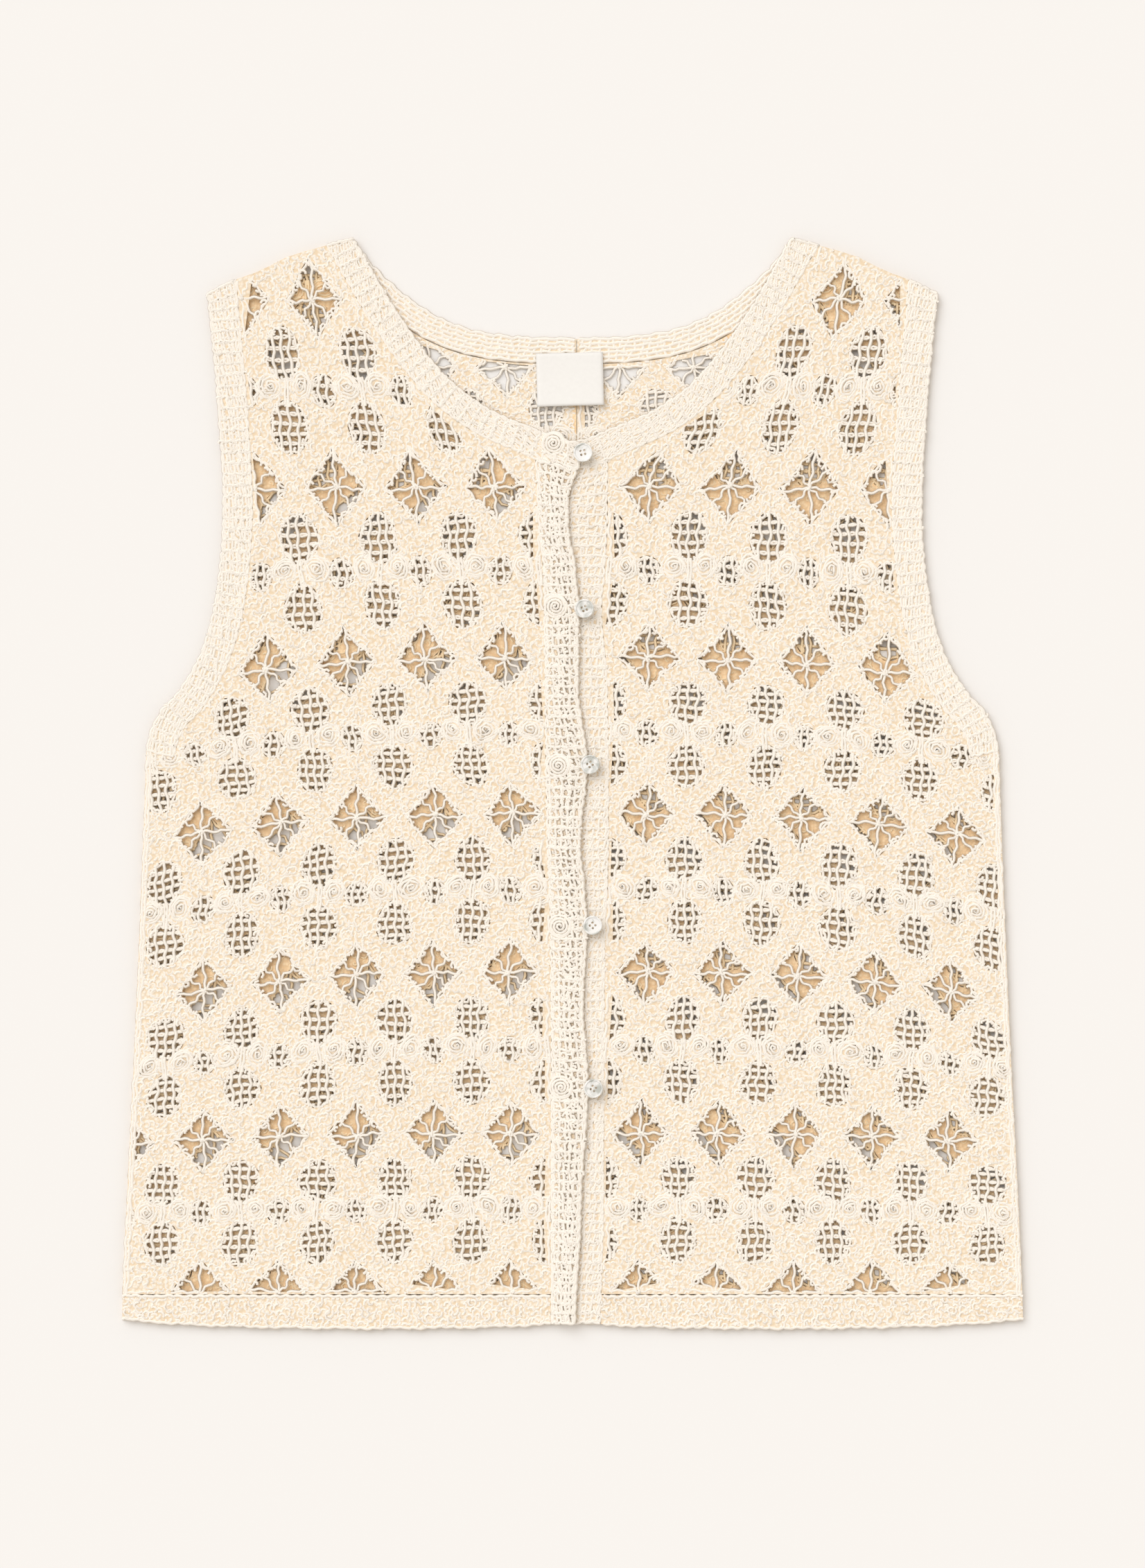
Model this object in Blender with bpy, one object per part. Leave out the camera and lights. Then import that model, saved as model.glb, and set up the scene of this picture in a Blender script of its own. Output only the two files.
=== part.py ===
"""Sleeveless crocheted top with a five-button front, laid flat: the back lies below, the two fronts on it.

The frame has +X to the right and +Y to the neck as one looks down on the top, and +Z up.
The origin is the middle of its outline, on the surface it lies on. Left and right are as seen from above.
Every size is in millimetres until a mesh is made.
"""

import math
from collections import namedtuple

import bpy
from mathutils import Vector
from mathutils.geometry import delaunay_2d_cdt

MM = 0.001
LEFT, RIGHT = -1, 1

# Thickness and gaps of the cloth
CLOTH = 2.4
SEAM_GAP = 0.3
LAYER_GAP = 0.6
BACK_BASE = 0.0
FRONT_BASE = CLOTH + LAYER_GAP
EDGE_ROUND = 1.1
EDGE_INSET = 5.0
BAND_EDGE_SHARE = 0.15

# Bands crocheted round the panels
NECK_BAND = 14.0
BACK_NECK_BAND = 13.7
ARM_BAND = 15.0
ROW_PITCH = 5.4
ROW_RELIEF = 0.5
STATION_PITCH = 12.0
HEM_PITCH = 20.0
HEM_STEPS = 7
BACK_SEAM_X = 2.2

# The left front laps over the right one at the opening, and rises to lie on it
UNDERLAP = 5.0
NECK_OPENING_X = 3.0
LAP_CLEARANCE = 0.5
LAP_SLOPE = 14.0
LAP_RISE = CLOTH + ROW_RELIEF + LAYER_GAP
LAP_EDGE_SHARE = 0.8

# Outline of one half, mirrored for the other: x is the distance from the middle
Point = namedtuple("Point", "x y")
SHOULDER = (Point(117, 290.5), Point(150, 281.5), Point(165, 274), Point(185, 266.5), Point(194.3, 261))
ARMHOLE = (
    Point(194.3, 261),
    Point(191.5, 236),
    Point(188.2, 196),
    Point(185.6, 148),
    Point(188.6, 106),
    Point(195.5, 75),
    Point(208, 51),
    Point(221.5, 36),
    Point(227, 18),
)
SIDE = (Point(227, 18), Point(229.4, -50), Point(233, -135), Point(237.4, -222), Point(239.6, -271.7))
HEM_TOP = -272.0
HEM = (Point(240, -285.5), Point(200, -288.6), Point(127, -290.5), Point(55, -290), Point(10, -288))
FRONT_NECK = (
    Point(116.5, 290.3),
    Point(104, 268),
    Point(92, 248.5),
    Point(78, 229),
    Point(63.5, 213),
    Point(45, 199.5),
    Point(24, 190.5),
    Point(10, 184.4),
    Point(0, 182.0),
    Point(-6, 181.5),
)
BACK_NECK = (
    Point(116.5, 290.3),
    Point(106, 276),
    Point(93, 264),
    Point(76, 251.5),
    Point(56, 243),
    Point(30, 238.7),
    Point(-3, 238),
)

# The button front: the left band's two edges and the right band's outer edge, down the front
FrontLine = namedtuple("FrontLine", "y left opening right")
FRONT_LINES = (
    FrontLine(172, -19.6, 2.0, 18.5),
    FrontLine(157, -18.6, -2.6, 18.5),
    FrontLine(135, -17.8, -2.6, 18.5),
    FrontLine(115, -15.2, 1.1, 17.0),
    FrontLine(94, -14.9, 3.0, 15.2),
    FrontLine(52, -14.4, 2.6, 18.4),
    FrontLine(10, -14.1, 7.4, 19.0),
    FrontLine(-32, -13.3, 3.7, 19.0),
    FrontLine(-60, -12.2, 6.3, 18.5),
    FrontLine(-75, -11.5, 7.4, 17.0),
    FrontLine(-118, -11.2, 5.2, 16.8),
    FrontLine(-161, -11.1, 7.8, 16.6),
    FrontLine(-225, -11.1, 4.1, 16.3),
    FrontLine(-288, -11.1, 1.1, 14.8),
)
FRONT_STEP = 12.0
FRONT_SLANT_REACH = 40.0

# Buttons: 16-line shell buttons with four holes
BUTTONS = (Point(5.5, 176.1), Point(6.3, 93.2), Point(9.3, 10.4), Point(10.7, -75.1), Point(11.1, -161.7))
BUTTON_RADIUS = 5.1
BUTTON_HEIGHT = 2.0
BUTTON_RIM = 0.9
BUTTON_DISH = 0.5
BUTTON_HOLE_RADIUS = 0.65
BUTTON_HOLE_CIRCLE = 1.45
BUTTON_SHANK_RADIUS = 0.7
BUTTON_LIFT = LAP_RISE + SEAM_GAP
BUTTON_SIDES = 20
BUTTON_HOLE_SIDES = 8

# Lace: rows of open diamonds, each crossed by rays, and ovals of net half a pitch aside
LaceRow = namedtuple("LaceRow", "y centre first pitch droop")
FRONT_LACE = (
    LaceRow(258, 2.0, 62.0, 39.0, 0),
    LaceRow(158, 0.0, 41.0, 42.6, 2),
    LaceRow(67, 2.3, 38.3, 42.2, 12),
    LaceRow(-16, 3.7, 35.6, 41.3, 10.5),
    LaceRow(-100, 2.7, 36.6, 40.6, 10.5),
    LaceRow(-186, 1.7, 34.7, 41.0, 4),
    LaceRow(-270.6, 1.0, 34.0, 41.4, 0),
)
BACK_LACE = (
    LaceRow(222, -5.8, 30.2, 41.0, 0),
    LaceRow(144, -3.5, 27.5, 41.0, 0),
    LaceRow(54, -2.0, 26.0, 41.3, 8),
    LaceRow(-29, -1.5, 25.0, 41.3, 9),
    LaceRow(-113, -1.0, 25.0, 41.3, 9),
    LaceRow(-198, -1.0, 25.0, 41.3, 4),
)
DROOP_REACH = 200.0
LACE_COLUMNS = 6
STAR_WIDE = 15.3
STAR_TALL = 17.0
RAY_HALF = 0.9
TIP_SHORT = 1.6
GAP_MARGIN = 1.3
OVAL_WIDE = 9.0
OVAL_TALL = 12.0
OVAL_DEPTH = 0.8
OVAL_HEIGHTS = (0.3, 0.69)
RELIEF_PITCH = 3.0
PAD_RISE = 0.3
PADS = ((0.0, 0.28), (0.0, 0.72), (0.5, 0.0), (0.25, 0.48), (-0.25, 0.48))

# Neck label: a folded woven tab, its lower edge standing a little off the cloth
LABEL_WIDTH = 35.6
LABEL_TALL = 28.4
LABEL_THICK = 0.9
LABEL_TOP = Point(-1.7, 229.8)
LABEL_TURN = math.radians(1.5)
LABEL_LIFT = 1.8
LABEL_STEPS = 6

COLOURS = {
    "crochet_cotton": ((0.92, 0.85, 0.71, 1.0), 0.9),
    "pearl_shell": ((0.86, 0.87, 0.84, 1.0), 0.25),
    "label_satin": ((0.88, 0.88, 0.87, 1.0), 0.45),
}


def clear_scene():
    for obj in list(bpy.data.objects):
        bpy.data.objects.remove(obj)


def material(name):
    found = bpy.data.materials.get(name)
    if found:
        return found
    made = bpy.data.materials.new(name)
    made.use_nodes = True
    shader = made.node_tree.nodes["Principled BSDF"]
    colour, roughness = COLOURS[name]
    shader.inputs["Base Color"].default_value = colour
    shader.inputs["Roughness"].default_value = roughness
    shader.inputs["Metallic"].default_value = 0.0
    return made


def add_object(name, points, faces, finish):
    """A mesh object from points in millimetres."""
    mesh = bpy.data.meshes.new(name)
    mesh.from_pydata([Vector(p) * MM for p in points], [], faces)
    mesh.materials.append(material(finish))
    mesh.update()
    obj = bpy.data.objects.new(name, mesh)
    bpy.context.scene.collection.objects.link(obj)
    return obj


# Curves in the plane

def spline(points, steps=6):
    """A smooth curve through the points, with that many steps between two of them."""
    padded = [points[0], *points, points[-1]]
    curve = []
    for a, b, c, d in zip(padded, padded[1:], padded[2:], padded[3:]):
        for step in range(steps):
            t = step / steps
            curve.append(tuple(
                0.5 * (2 * q + (r - p) * t + (2 * p - 5 * q + 4 * r - s) * t**2
                       + (3 * q - p - 3 * r + s) * t**3)
                for p, q, r, s in zip(a, b, c, d)
            ))
    curve.append(tuple(points[-1]))
    return curve


def spaced(curve, pitch):
    """The curve again, with points about that far apart."""
    lengths = [0.0]
    for a, b in zip(curve, curve[1:]):
        lengths.append(lengths[-1] + math.dist(a, b))
    count = max(1, round(lengths[-1] / pitch))
    found, segment = [], 0
    for i in range(count + 1):
        at = lengths[-1] * i / count
        while segment < len(curve) - 2 and lengths[segment + 1] < at:
            segment += 1
        share = (at - lengths[segment]) / (lengths[segment + 1] - lengths[segment])
        found.append(tuple(p + (q - p) * share for p, q in zip(curve[segment], curve[segment + 1])))
    return found


def mirrored(points, side):
    return [(side * x, y) for x, y in points]


def offset(curve, distance):
    """The curve moved to its left-hand side by that distance."""
    moved = []
    for i, (x, y) in enumerate(curve):
        x0, y0 = curve[max(i - 1, 0)]
        x1, y1 = curve[min(i + 1, len(curve) - 1)]
        size = math.dist((x0, y0), (x1, y1))
        moved.append((x - (y1 - y0) / size * distance, y + (x1 - x0) / size * distance))
    return moved


def table_value(table, y, column):
    """A column of the front-line table at height y, eased between its rows."""
    for upper, lower in zip(table, table[1:]):
        if y >= lower.y:
            break
    t = min(1.0, max(0.0, (upper.y - y) / (upper.y - lower.y)))
    t = t * t * (3 - 2 * t)
    return getattr(upper, column) * (1 - t) + getattr(lower, column) * t


def height_on(curve, x):
    """The y of a curve at x, where it runs from side to side."""
    for (x0, y0), (x1, y1) in zip(curve, curve[1:]):
        if min(x0, x1) <= x <= max(x0, x1) and x0 != x1:
            return y0 + (y1 - y0) * (x - x0) / (x1 - x0)
    return curve[-1][1]


def inside(point, outline):
    x, y = point
    odd = False
    for (x0, y0), (x1, y1) in zip(outline, outline[1:] + outline[:1]):
        if (y0 > y) != (y1 > y) and x < x0 + (x1 - x0) * (y - y0) / (y1 - y0):
            odd = not odd
    return odd


def edge_distance(point, outline):
    best = math.inf
    for (x0, y0), (x1, y1) in zip(outline, outline[1:] + outline[:1]):
        dx, dy = x1 - x0, y1 - y0
        t = ((point[0] - x0) * dx + (point[1] - y0) * dy) / (dx * dx + dy * dy)
        t = min(1.0, max(0.0, t))
        best = min(best, math.dist(point, (x0 + t * dx, y0 + t * dy)))
    return best


def well_inside(points, outline, margin):
    return all(inside(p, outline) and edge_distance(p, outline) >= margin for p in points)


# Edges that bands and panels share

def armhole_edge(side, inset):
    """The armhole curve moved in by inset, from the shoulder down, with its top on the shoulder line."""
    curve = spaced(spline(ARMHOLE), STATION_PITCH)
    if inset:
        curve = offset(curve, -inset)
        x = ARMHOLE[0].x - inset
        curve[0] = (x, height_on(spline(SHOULDER), x))
    return mirrored(curve, side)


def neck_edge(table, side, inset, pitch=STATION_PITCH):
    """A neck curve moved into the cloth by inset, from the shoulder to the middle."""
    curve = spaced(spline(table), pitch)
    if inset:
        curve = offset(curve, inset)
        x = SHOULDER[0].x + inset
        curve[0] = (x, height_on(spline(SHOULDER), x))
    return mirrored(curve, side)


def front_x(column, y):
    """A front band's edge at height y, on the same straight steps for the band and the panel beside it."""
    below = HEM_TOP + math.floor((y - HEM_TOP) / FRONT_STEP) * FRONT_STEP
    share = (y - below) / FRONT_STEP
    low, high = (table_value(FRONT_LINES, below + step, column) for step in (0, FRONT_STEP))
    return low * (1 - share) + high * share


def front_line(column, side, inset):
    """The outer edge of a front band, from the neck band down to the hem band."""
    count = round((FRONT_LINES[0].y - HEM_TOP) / FRONT_STEP)
    heights = [HEM_TOP + FRONT_STEP * (count - i) for i in range(count + 1)]
    return [(front_x(column, y) + side * inset, y) for y in heights]


def shoulder_edge(side, start, end):
    curve = [p for p in spaced(spline(SHOULDER), 9.0) if start + 3 < p[0] < end - 3]
    return mirrored(curve, side)


def side_edge(side):
    return mirrored(spaced(spline(SIDE), 24.0), side)


# Lace

def lace_point(rows, side, column, height):
    """A place in the lace: column counts stars from the middle, height counts rows from the top."""
    index = min(max(int(height), 0), len(rows) - 2)
    t = height - index
    upper, lower = rows[index], rows[index + 1]
    y, centre, first, pitch, droop = (p + (q - p) * t for p, q in zip(upper, lower))
    x = centre + side * (first + pitch * column)
    return x, y - droop * (abs(x) / DROOP_REACH) ** 3


def star_quarters(centre):
    """The four open quarters of a star, as polygons."""
    x, y = centre
    wide, tall = STAR_WIDE - TIP_SHORT, STAR_TALL - TIP_SHORT
    return [
        [(x + i * RAY_HALF, y + j * RAY_HALF), (x + i * wide, y + j * RAY_HALF), (x + i * RAY_HALF, y + j * tall)]
        for i in (-1, 1)
        for j in (1, -1)
    ]


def star_diamonds(centre, outline):
    """A star's whole diamond, or where a band or seam covers part of it, the half that stays open."""
    x, y = centre
    tips = [(x + STAR_WIDE - TIP_SHORT, y), (x, y + STAR_TALL - TIP_SHORT)]
    tips += [(2 * x - tip_x, 2 * y - tip_y) for tip_x, tip_y in tips]
    halves = [[tips[i - 1], tips[i], tips[(i + 1) % 4]] for i in range(4)]
    for gap in (tips, *halves):
        if well_inside(gap, outline, GAP_MARGIN):
            return [gap]
    return []


def lace_gaps(rows, side, outline, quarters):
    gaps = []
    for row in range(len(rows)):
        for column in range(-1, LACE_COLUMNS):
            centre = lace_point(rows, side, column, row)
            if quarters:
                gaps += [gap for gap in star_quarters(centre) if well_inside(gap, outline, GAP_MARGIN)]
            else:
                gaps += star_diamonds(centre, outline)
    return gaps


def lace_relief(rows, side, outline, gaps):
    """Points raised or sunk from the plain face: net ovals are thin, the pads between them thick."""
    relief = []
    for row in range(-1, len(rows)):
        for column in range(-1, LACE_COLUMNS):
            for share in OVAL_HEIGHTS:
                x, y = lace_point(rows, side, column + 0.5, row + share)
                rim = [(x + OVAL_WIDE, y), (x, y + OVAL_TALL), (x - OVAL_WIDE, y), (x, y - OVAL_TALL)]
                if well_inside(rim, outline, 1.0):
                    relief += [(p, 0.0) for p in rim]
                    relief.append(((x, y), -OVAL_DEPTH))
            for across, down in PADS:
                relief.append((lace_point(rows, side, column + across, row + down), PAD_RISE))
    clear = []
    for point, rise in relief:
        in_cloth = well_inside([point], outline, 2.0)
        in_gap = any(inside(point, gap) or edge_distance(point, gap) < 1.0 for gap in gaps)
        apart = all(math.dist(point, other) > RELIEF_PITCH for other, _ in clear)
        if in_cloth and not in_gap and apart:
            clear.append((point, rise))
    return clear


# Walls

def triangles(loops, extra):
    """Faces between the first loop and the others, which are holes, also using the extra points."""
    points = [p for loop in loops for p in loop] + extra
    edges, start = [], 0
    for loop in loops:
        count = len(loop)
        edges += [(start + i, start + (i + 1) % count) for i in range(count)]
        start += count
    found = delaunay_2d_cdt([Vector(p) for p in points], edges, [], 0, 1e-6)
    made, faces, origins = found[0], found[2], found[3]
    kept = []
    for face in faces:
        middle = tuple(sum(made[i][k] for i in face) / 3 for k in (0, 1))
        if inside(middle, loops[0]) and not any(inside(middle, loop) for loop in loops[1:]):
            a, b, c = (made[i] for i in face)
            turned = (b.x - a.x) * (c.y - a.y) - (b.y - a.y) * (c.x - a.x) < 0
            kept.append([origins[i][0] for i in (reversed(face) if turned else face)])
    return kept


def signed_area(loop):
    return sum(x0 * y1 - x1 * y0 for (x0, y0), (x1, y1) in zip(loop, loop[1:] + loop[:1])) / 2


def panel(name, outline, gaps, relief, base, rounded):
    """A lace wall: flat below, with relief on top. rounded tells which outline points are a soft outer edge."""
    if signed_area(outline) < 0:
        outline = outline[::-1]
    holes = [gap if signed_area(gap) < 0 else gap[::-1] for gap in gaps]
    loops = [outline, *holes]
    rim = [p for loop in loops for p in loop]
    raised = [p for p, _ in relief]
    bottom = triangles(loops, [])
    top = triangles(loops, raised)
    points = [(x, y, base) for x, y in rim]
    points += [(x, y, base + CLOTH - (EDGE_ROUND if rounded((x, y)) else 0)) for x, y in rim]
    points += [(x, y, base + CLOTH + rise) for (x, y), rise in relief]
    count = len(rim)
    faces = [face[::-1] for face in bottom] + [[i + count for i in face] for face in top]
    start = 0
    for loop in loops:
        for i in range(len(loop)):
            a, b = start + i, start + (i + 1) % len(loop)
            faces.append([a, b, b + count, a + count])
        start += len(loop)
    return add_object(name, points, faces, "crochet_cotton")


def strip(name, sections, finish="crochet_cotton"):
    """A closed bar swept through sections, each a ring of the same number of points."""
    size = len(sections[0])
    points = [p for section in sections for p in section]
    faces = []
    for s in range(len(sections) - 1):
        for i in range(size):
            a, b = s * size + i, s * size + (i + 1) % size
            faces.append([a, b, b + size, a + size])
    faces.append(list(range(size))[::-1])
    faces.append([(len(sections) - 1) * size + i for i in range(size)])
    (x0, y0, z0), (x1, y1, z1) = sections[0][0], sections[0][1]
    ahead = sections[1][0]
    turn = (x1 - x0) * (ahead[1] - y0) - (y1 - y0) * (ahead[0] - x0)
    if turn > 0:
        faces = [face[::-1] for face in faces]
    return add_object(name, points, faces, finish)


def row_height(index):
    """Rows of stitches cross a ribbed band: every second section is the valley between two rows."""
    return ROW_RELIEF if index % 2 else 0.0


def plain_band(name, outer, inner, base):
    sections = []
    for (x0, y0), (x1, y1) in zip(outer, inner):
        sections.append([
            (x0, y0, base),
            (x1, y1, base),
            (x1, y1, base + CLOTH),
            (x0 + BAND_EDGE_SHARE * (x1 - x0), y0 + BAND_EDGE_SHARE * (y1 - y0), base + CLOTH),
            (x0, y0, base + CLOTH - EDGE_ROUND),
        ])
    return strip(name, sections)


def soft_edge_relief(outline, side, soft):
    """Points a little inside the soft outer edges, at full height, so the edge rounds off over a short way."""
    found = []
    for x, y in soft:
        for dx, dy in ((-side * EDGE_INSET, 0.0), (0.0, -EDGE_INSET)):
            if well_inside([(x + dx, y + dy)], outline, EDGE_INSET * 0.6):
                found.append(((x + dx, y + dy), 0.0))
                break
    return found


# The pieces

def lace_panel(name, side, rows, outline, base, quarters):
    """One front or back, and the number of gaps cut in it."""
    gaps = lace_gaps(rows, side, outline, quarters)
    soft = side_edge(side) + shoulder_edge(side, SHOULDER[0].x, SHOULDER[-1].x)
    relief = soft_edge_relief(outline, side, soft)
    relief += [
        (p, rise)
        for p, rise in lace_relief(rows, side, outline, gaps)
        if all(math.dist(p, q) > RELIEF_PITCH for q, _ in relief)
    ]
    panel(name, outline, gaps, relief, base, lambda p: p in soft)
    return len(gaps)


def panel_outline(side, neck, neck_inset, middle):
    """The cut of a lace panel: shoulder, armhole, side, hem, middle and neck, each just off its band."""
    armhole, edge = armhole_edge(side, ARM_BAND + SEAM_GAP), side_edge(side)
    neck_curve = neck_edge(neck, side, neck_inset + SEAM_GAP)
    top_x, low_x = middle[0][0], middle[-1][0]
    corner_x, bottom = edge[-1][0], HEM_TOP + SEAM_GAP
    neckline = [p for p in neck_curve if side * (p[0] - top_x) > STATION_PITCH / 2]
    neckline.append((top_x, height_on(neck_curve, top_x)))
    outline = shoulder_edge(side, SHOULDER[0].x + neck_inset, ARMHOLE[0].x - ARM_BAND)
    outline += armhole[:-1]
    outline.append((armhole[-1][0], armhole[-1][1] - SEAM_GAP))
    outline.append((edge[0][0], edge[0][1] - SEAM_GAP))
    outline += edge[1:-1]
    outline += [(corner_x + (low_x - corner_x) * i / HEM_STEPS, bottom) for i in range(HEM_STEPS + 1)]
    outline += middle[-2:0:-1]
    outline += neckline[::-1]
    return outline


def build_panels():
    gap_count = 0
    for side, word in ((LEFT, "left"), (RIGHT, "right")):
        outline = panel_outline(side, FRONT_NECK, NECK_BAND, front_line(word, side, SEAM_GAP))
        gap_count += lace_panel(f"front_panel_{word}", side, FRONT_LACE, outline, FRONT_BASE, True)
        seam = BACK_SEAM_X + side * SEAM_GAP / 2
        seam_line = [(seam, y) for _, y in front_line(word, side, 0)[::3]] + [(seam, HEM_TOP)]
        outline = panel_outline(side, BACK_NECK, BACK_NECK_BAND, seam_line)
        gap_count += lace_panel(f"back_panel_{word}", side, BACK_LACE, outline, BACK_BASE, False)
    print("gaps cut through:", gap_count)


def lap_rise(x, opening):
    """How far the left front has risen at x, on its way to the opening."""
    start = opening - UNDERLAP - LAP_CLEARANCE
    return LAP_RISE * min(1.0, max(0.0, 1 - (start - x) / LAP_SLOPE))


def front_heights():
    top, low = FRONT_LINES[0].y, FRONT_LINES[-1].y
    count = 2 * round((top - low) / ROW_PITCH)
    return [top + (low - top) * i / count for i in range(count + 1)]


def row_level(side, x, y):
    """Height of a band row at x: the topmost rows follow the neck band, the lower ones run level."""
    top = height_on(neck_edge(FRONT_NECK, side, NECK_BAND + 2 * SEAM_GAP, ROW_PITCH / 2), x)
    share = max(0.0, 1 - (FRONT_LINES[0].y - y) / FRONT_SLANT_REACH)
    return y + (top - FRONT_LINES[0].y) * share


def build_front_bands():
    left, right = [], []
    for index, y in enumerate(front_heights()):
        rise = row_height(index)
        opening = front_x("opening", y)
        under = opening - UNDERLAP
        start = under - LAP_CLEARANCE
        outer_y = row_level(LEFT, front_x("left", y), y)
        outer = front_x("left", outer_y)
        start_y, opening_y = row_level(LEFT, start, y), row_level(LEFT, opening, y)
        left.append([
            (outer, outer_y, FRONT_BASE),
            (start, start_y, FRONT_BASE + LAP_RISE),
            (opening, opening_y, FRONT_BASE + LAP_RISE),
            (opening, opening_y, FRONT_BASE + LAP_RISE + CLOTH * LAP_EDGE_SHARE + rise),
            (start, start_y, FRONT_BASE + LAP_RISE + CLOTH + rise),
            (outer, outer_y, FRONT_BASE + CLOTH + rise),
        ])
        far_y = row_level(RIGHT, front_x("right", y), y)
        far, under_y = front_x("right", far_y), row_level(RIGHT, under, y)
        middle = (far + under) / 2
        middle_y = row_level(RIGHT, middle, y)
        right.append([
            (far, far_y, FRONT_BASE),
            (middle, middle_y, FRONT_BASE),
            (under, under_y, FRONT_BASE),
            (under, under_y, FRONT_BASE + CLOTH + rise),
            (middle, middle_y, FRONT_BASE + CLOTH + rise),
            (far, far_y, FRONT_BASE + CLOTH + rise),
        ])
    strip("front_band_left", left)
    strip("front_band_right", right)


def neck_band_edges(table, side, width, pitch, end_x):
    """Both edges of a neck band, from the shoulder to its end at the front opening or the back seam."""
    outer, inner = neck_edge(table, side, 0, pitch), neck_edge(table, side, width, pitch)
    kept = [(p, q) for p, q in zip(outer, inner) if min(side * (p[0] - end_x), side * (q[0] - end_x)) > pitch / 2]
    ends = [(end_x, height_on(curve, end_x)) for curve in (outer, inner)]
    return [p for p, _ in kept] + ends[:1], [q for _, q in kept] + ends[1:]


def build_neck_bands():
    for side, word in ((LEFT, "left"), (RIGHT, "right")):
        end = NECK_OPENING_X if side == LEFT else NECK_OPENING_X - UNDERLAP
        outer, inner = neck_band_edges(FRONT_NECK, side, NECK_BAND, ROW_PITCH / 2, end)
        sections = []
        for index, ((x0, y0), (x1, y1)) in enumerate(zip(outer, inner)):
            base = FRONT_BASE + (lap_rise(max(x0, x1), NECK_OPENING_X) if side == LEFT else 0.0)
            top = base + CLOTH + row_height(index)
            sections.append([(x0, y0, base), (x1, y1, base), (x1, y1, top), (x0, y0, top)])
        strip(f"neck_band_front_{word}", sections)
        seam = BACK_SEAM_X + side * SEAM_GAP / 2
        outer, inner = neck_band_edges(BACK_NECK, side, BACK_NECK_BAND, STATION_PITCH, seam)
        plain_band(f"neck_band_back_{word}", outer, inner, BACK_BASE)


def build_armhole_bands():
    for side, word in ((LEFT, "left"), (RIGHT, "right")):
        outer, inner = armhole_edge(side, 0), armhole_edge(side, ARM_BAND)
        plain_band(f"armhole_band_front_{word}", outer, inner, FRONT_BASE)
        plain_band(f"armhole_band_back_{word}", outer, inner, BACK_BASE)


def build_hem_bands():
    for side, word in ((LEFT, "left"), (RIGHT, "right")):
        for layer, base in (("front", FRONT_BASE), ("back", BACK_BASE)):
            if layer == "back":
                end = BACK_SEAM_X + side * SEAM_GAP / 2
            else:
                end = getattr(FRONT_LINES[-1], word) + side * SEAM_GAP
            curve = mirrored(spline(HEM), side)
            reach = side * curve[0][0] - side * end
            count = round(reach / HEM_PITCH)
            outer, inner = [], []
            for i in range(count + 1):
                x = curve[0][0] + (end - curve[0][0]) * i / count
                outer.append((x, height_on(curve, x)))
                top_x = x if i else side * SIDE[-1].x
                if layer == "front":
                    slope = front_x(word, HEM_TOP) + side * SEAM_GAP - end
                    top_x += slope * i / count
                inner.append((top_x, HEM_TOP))
            plain_band(f"hem_band_{layer}_{word}", outer, inner, base)


def build_label():
    sections = []
    for i in range(LABEL_STEPS + 1):
        down = i / LABEL_STEPS
        z = CLOTH + LAYER_GAP + LABEL_LIFT * down * down
        ring = []
        for across, up in ((-0.5, 0), (0.5, 0), (0.5, LABEL_THICK), (-0.5, LABEL_THICK)):
            x, y = across * LABEL_WIDTH, -down * LABEL_TALL
            turned_x = LABEL_TOP.x + x * math.cos(LABEL_TURN) - y * math.sin(LABEL_TURN)
            turned_y = LABEL_TOP.y + x * math.sin(LABEL_TURN) + y * math.cos(LABEL_TURN)
            ring.append((turned_x, turned_y, z + up))
        sections.append(ring)
    strip("neck_label", sections, "label_satin")


def button_mesh():
    """A turned disc with a raised rim and a dished middle, on the wound stem of its sewing thread."""
    profile = (
        (BUTTON_SHANK_RADIUS, SEAM_GAP - BUTTON_LIFT),
        (BUTTON_SHANK_RADIUS, 0.0),
        (BUTTON_RADIUS - 0.5, 0.0),
        (BUTTON_RADIUS, 0.6),
        (BUTTON_RADIUS, BUTTON_HEIGHT - 0.5),
        (BUTTON_RADIUS - 0.4, BUTTON_HEIGHT),
        (BUTTON_RADIUS - BUTTON_RIM, BUTTON_HEIGHT),
        (BUTTON_RADIUS - BUTTON_RIM - 0.6, BUTTON_HEIGHT - BUTTON_DISH),
    )
    points, faces = [], []
    for radius, z in profile:
        for i in range(BUTTON_SIDES):
            turn = 2 * math.pi * i / BUTTON_SIDES
            points.append((radius * math.cos(turn), radius * math.sin(turn), z))
    for ring in range(len(profile) - 1):
        for i in range(BUTTON_SIDES):
            a = ring * BUTTON_SIDES + i
            b = ring * BUTTON_SIDES + (i + 1) % BUTTON_SIDES
            faces.append([a, b, b + BUTTON_SIDES, a + BUTTON_SIDES])
    faces.append(list(range(BUTTON_SIDES))[::-1])
    faces.append([(len(profile) - 1) * BUTTON_SIDES + i for i in range(BUTTON_SIDES)])
    return points, faces


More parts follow.
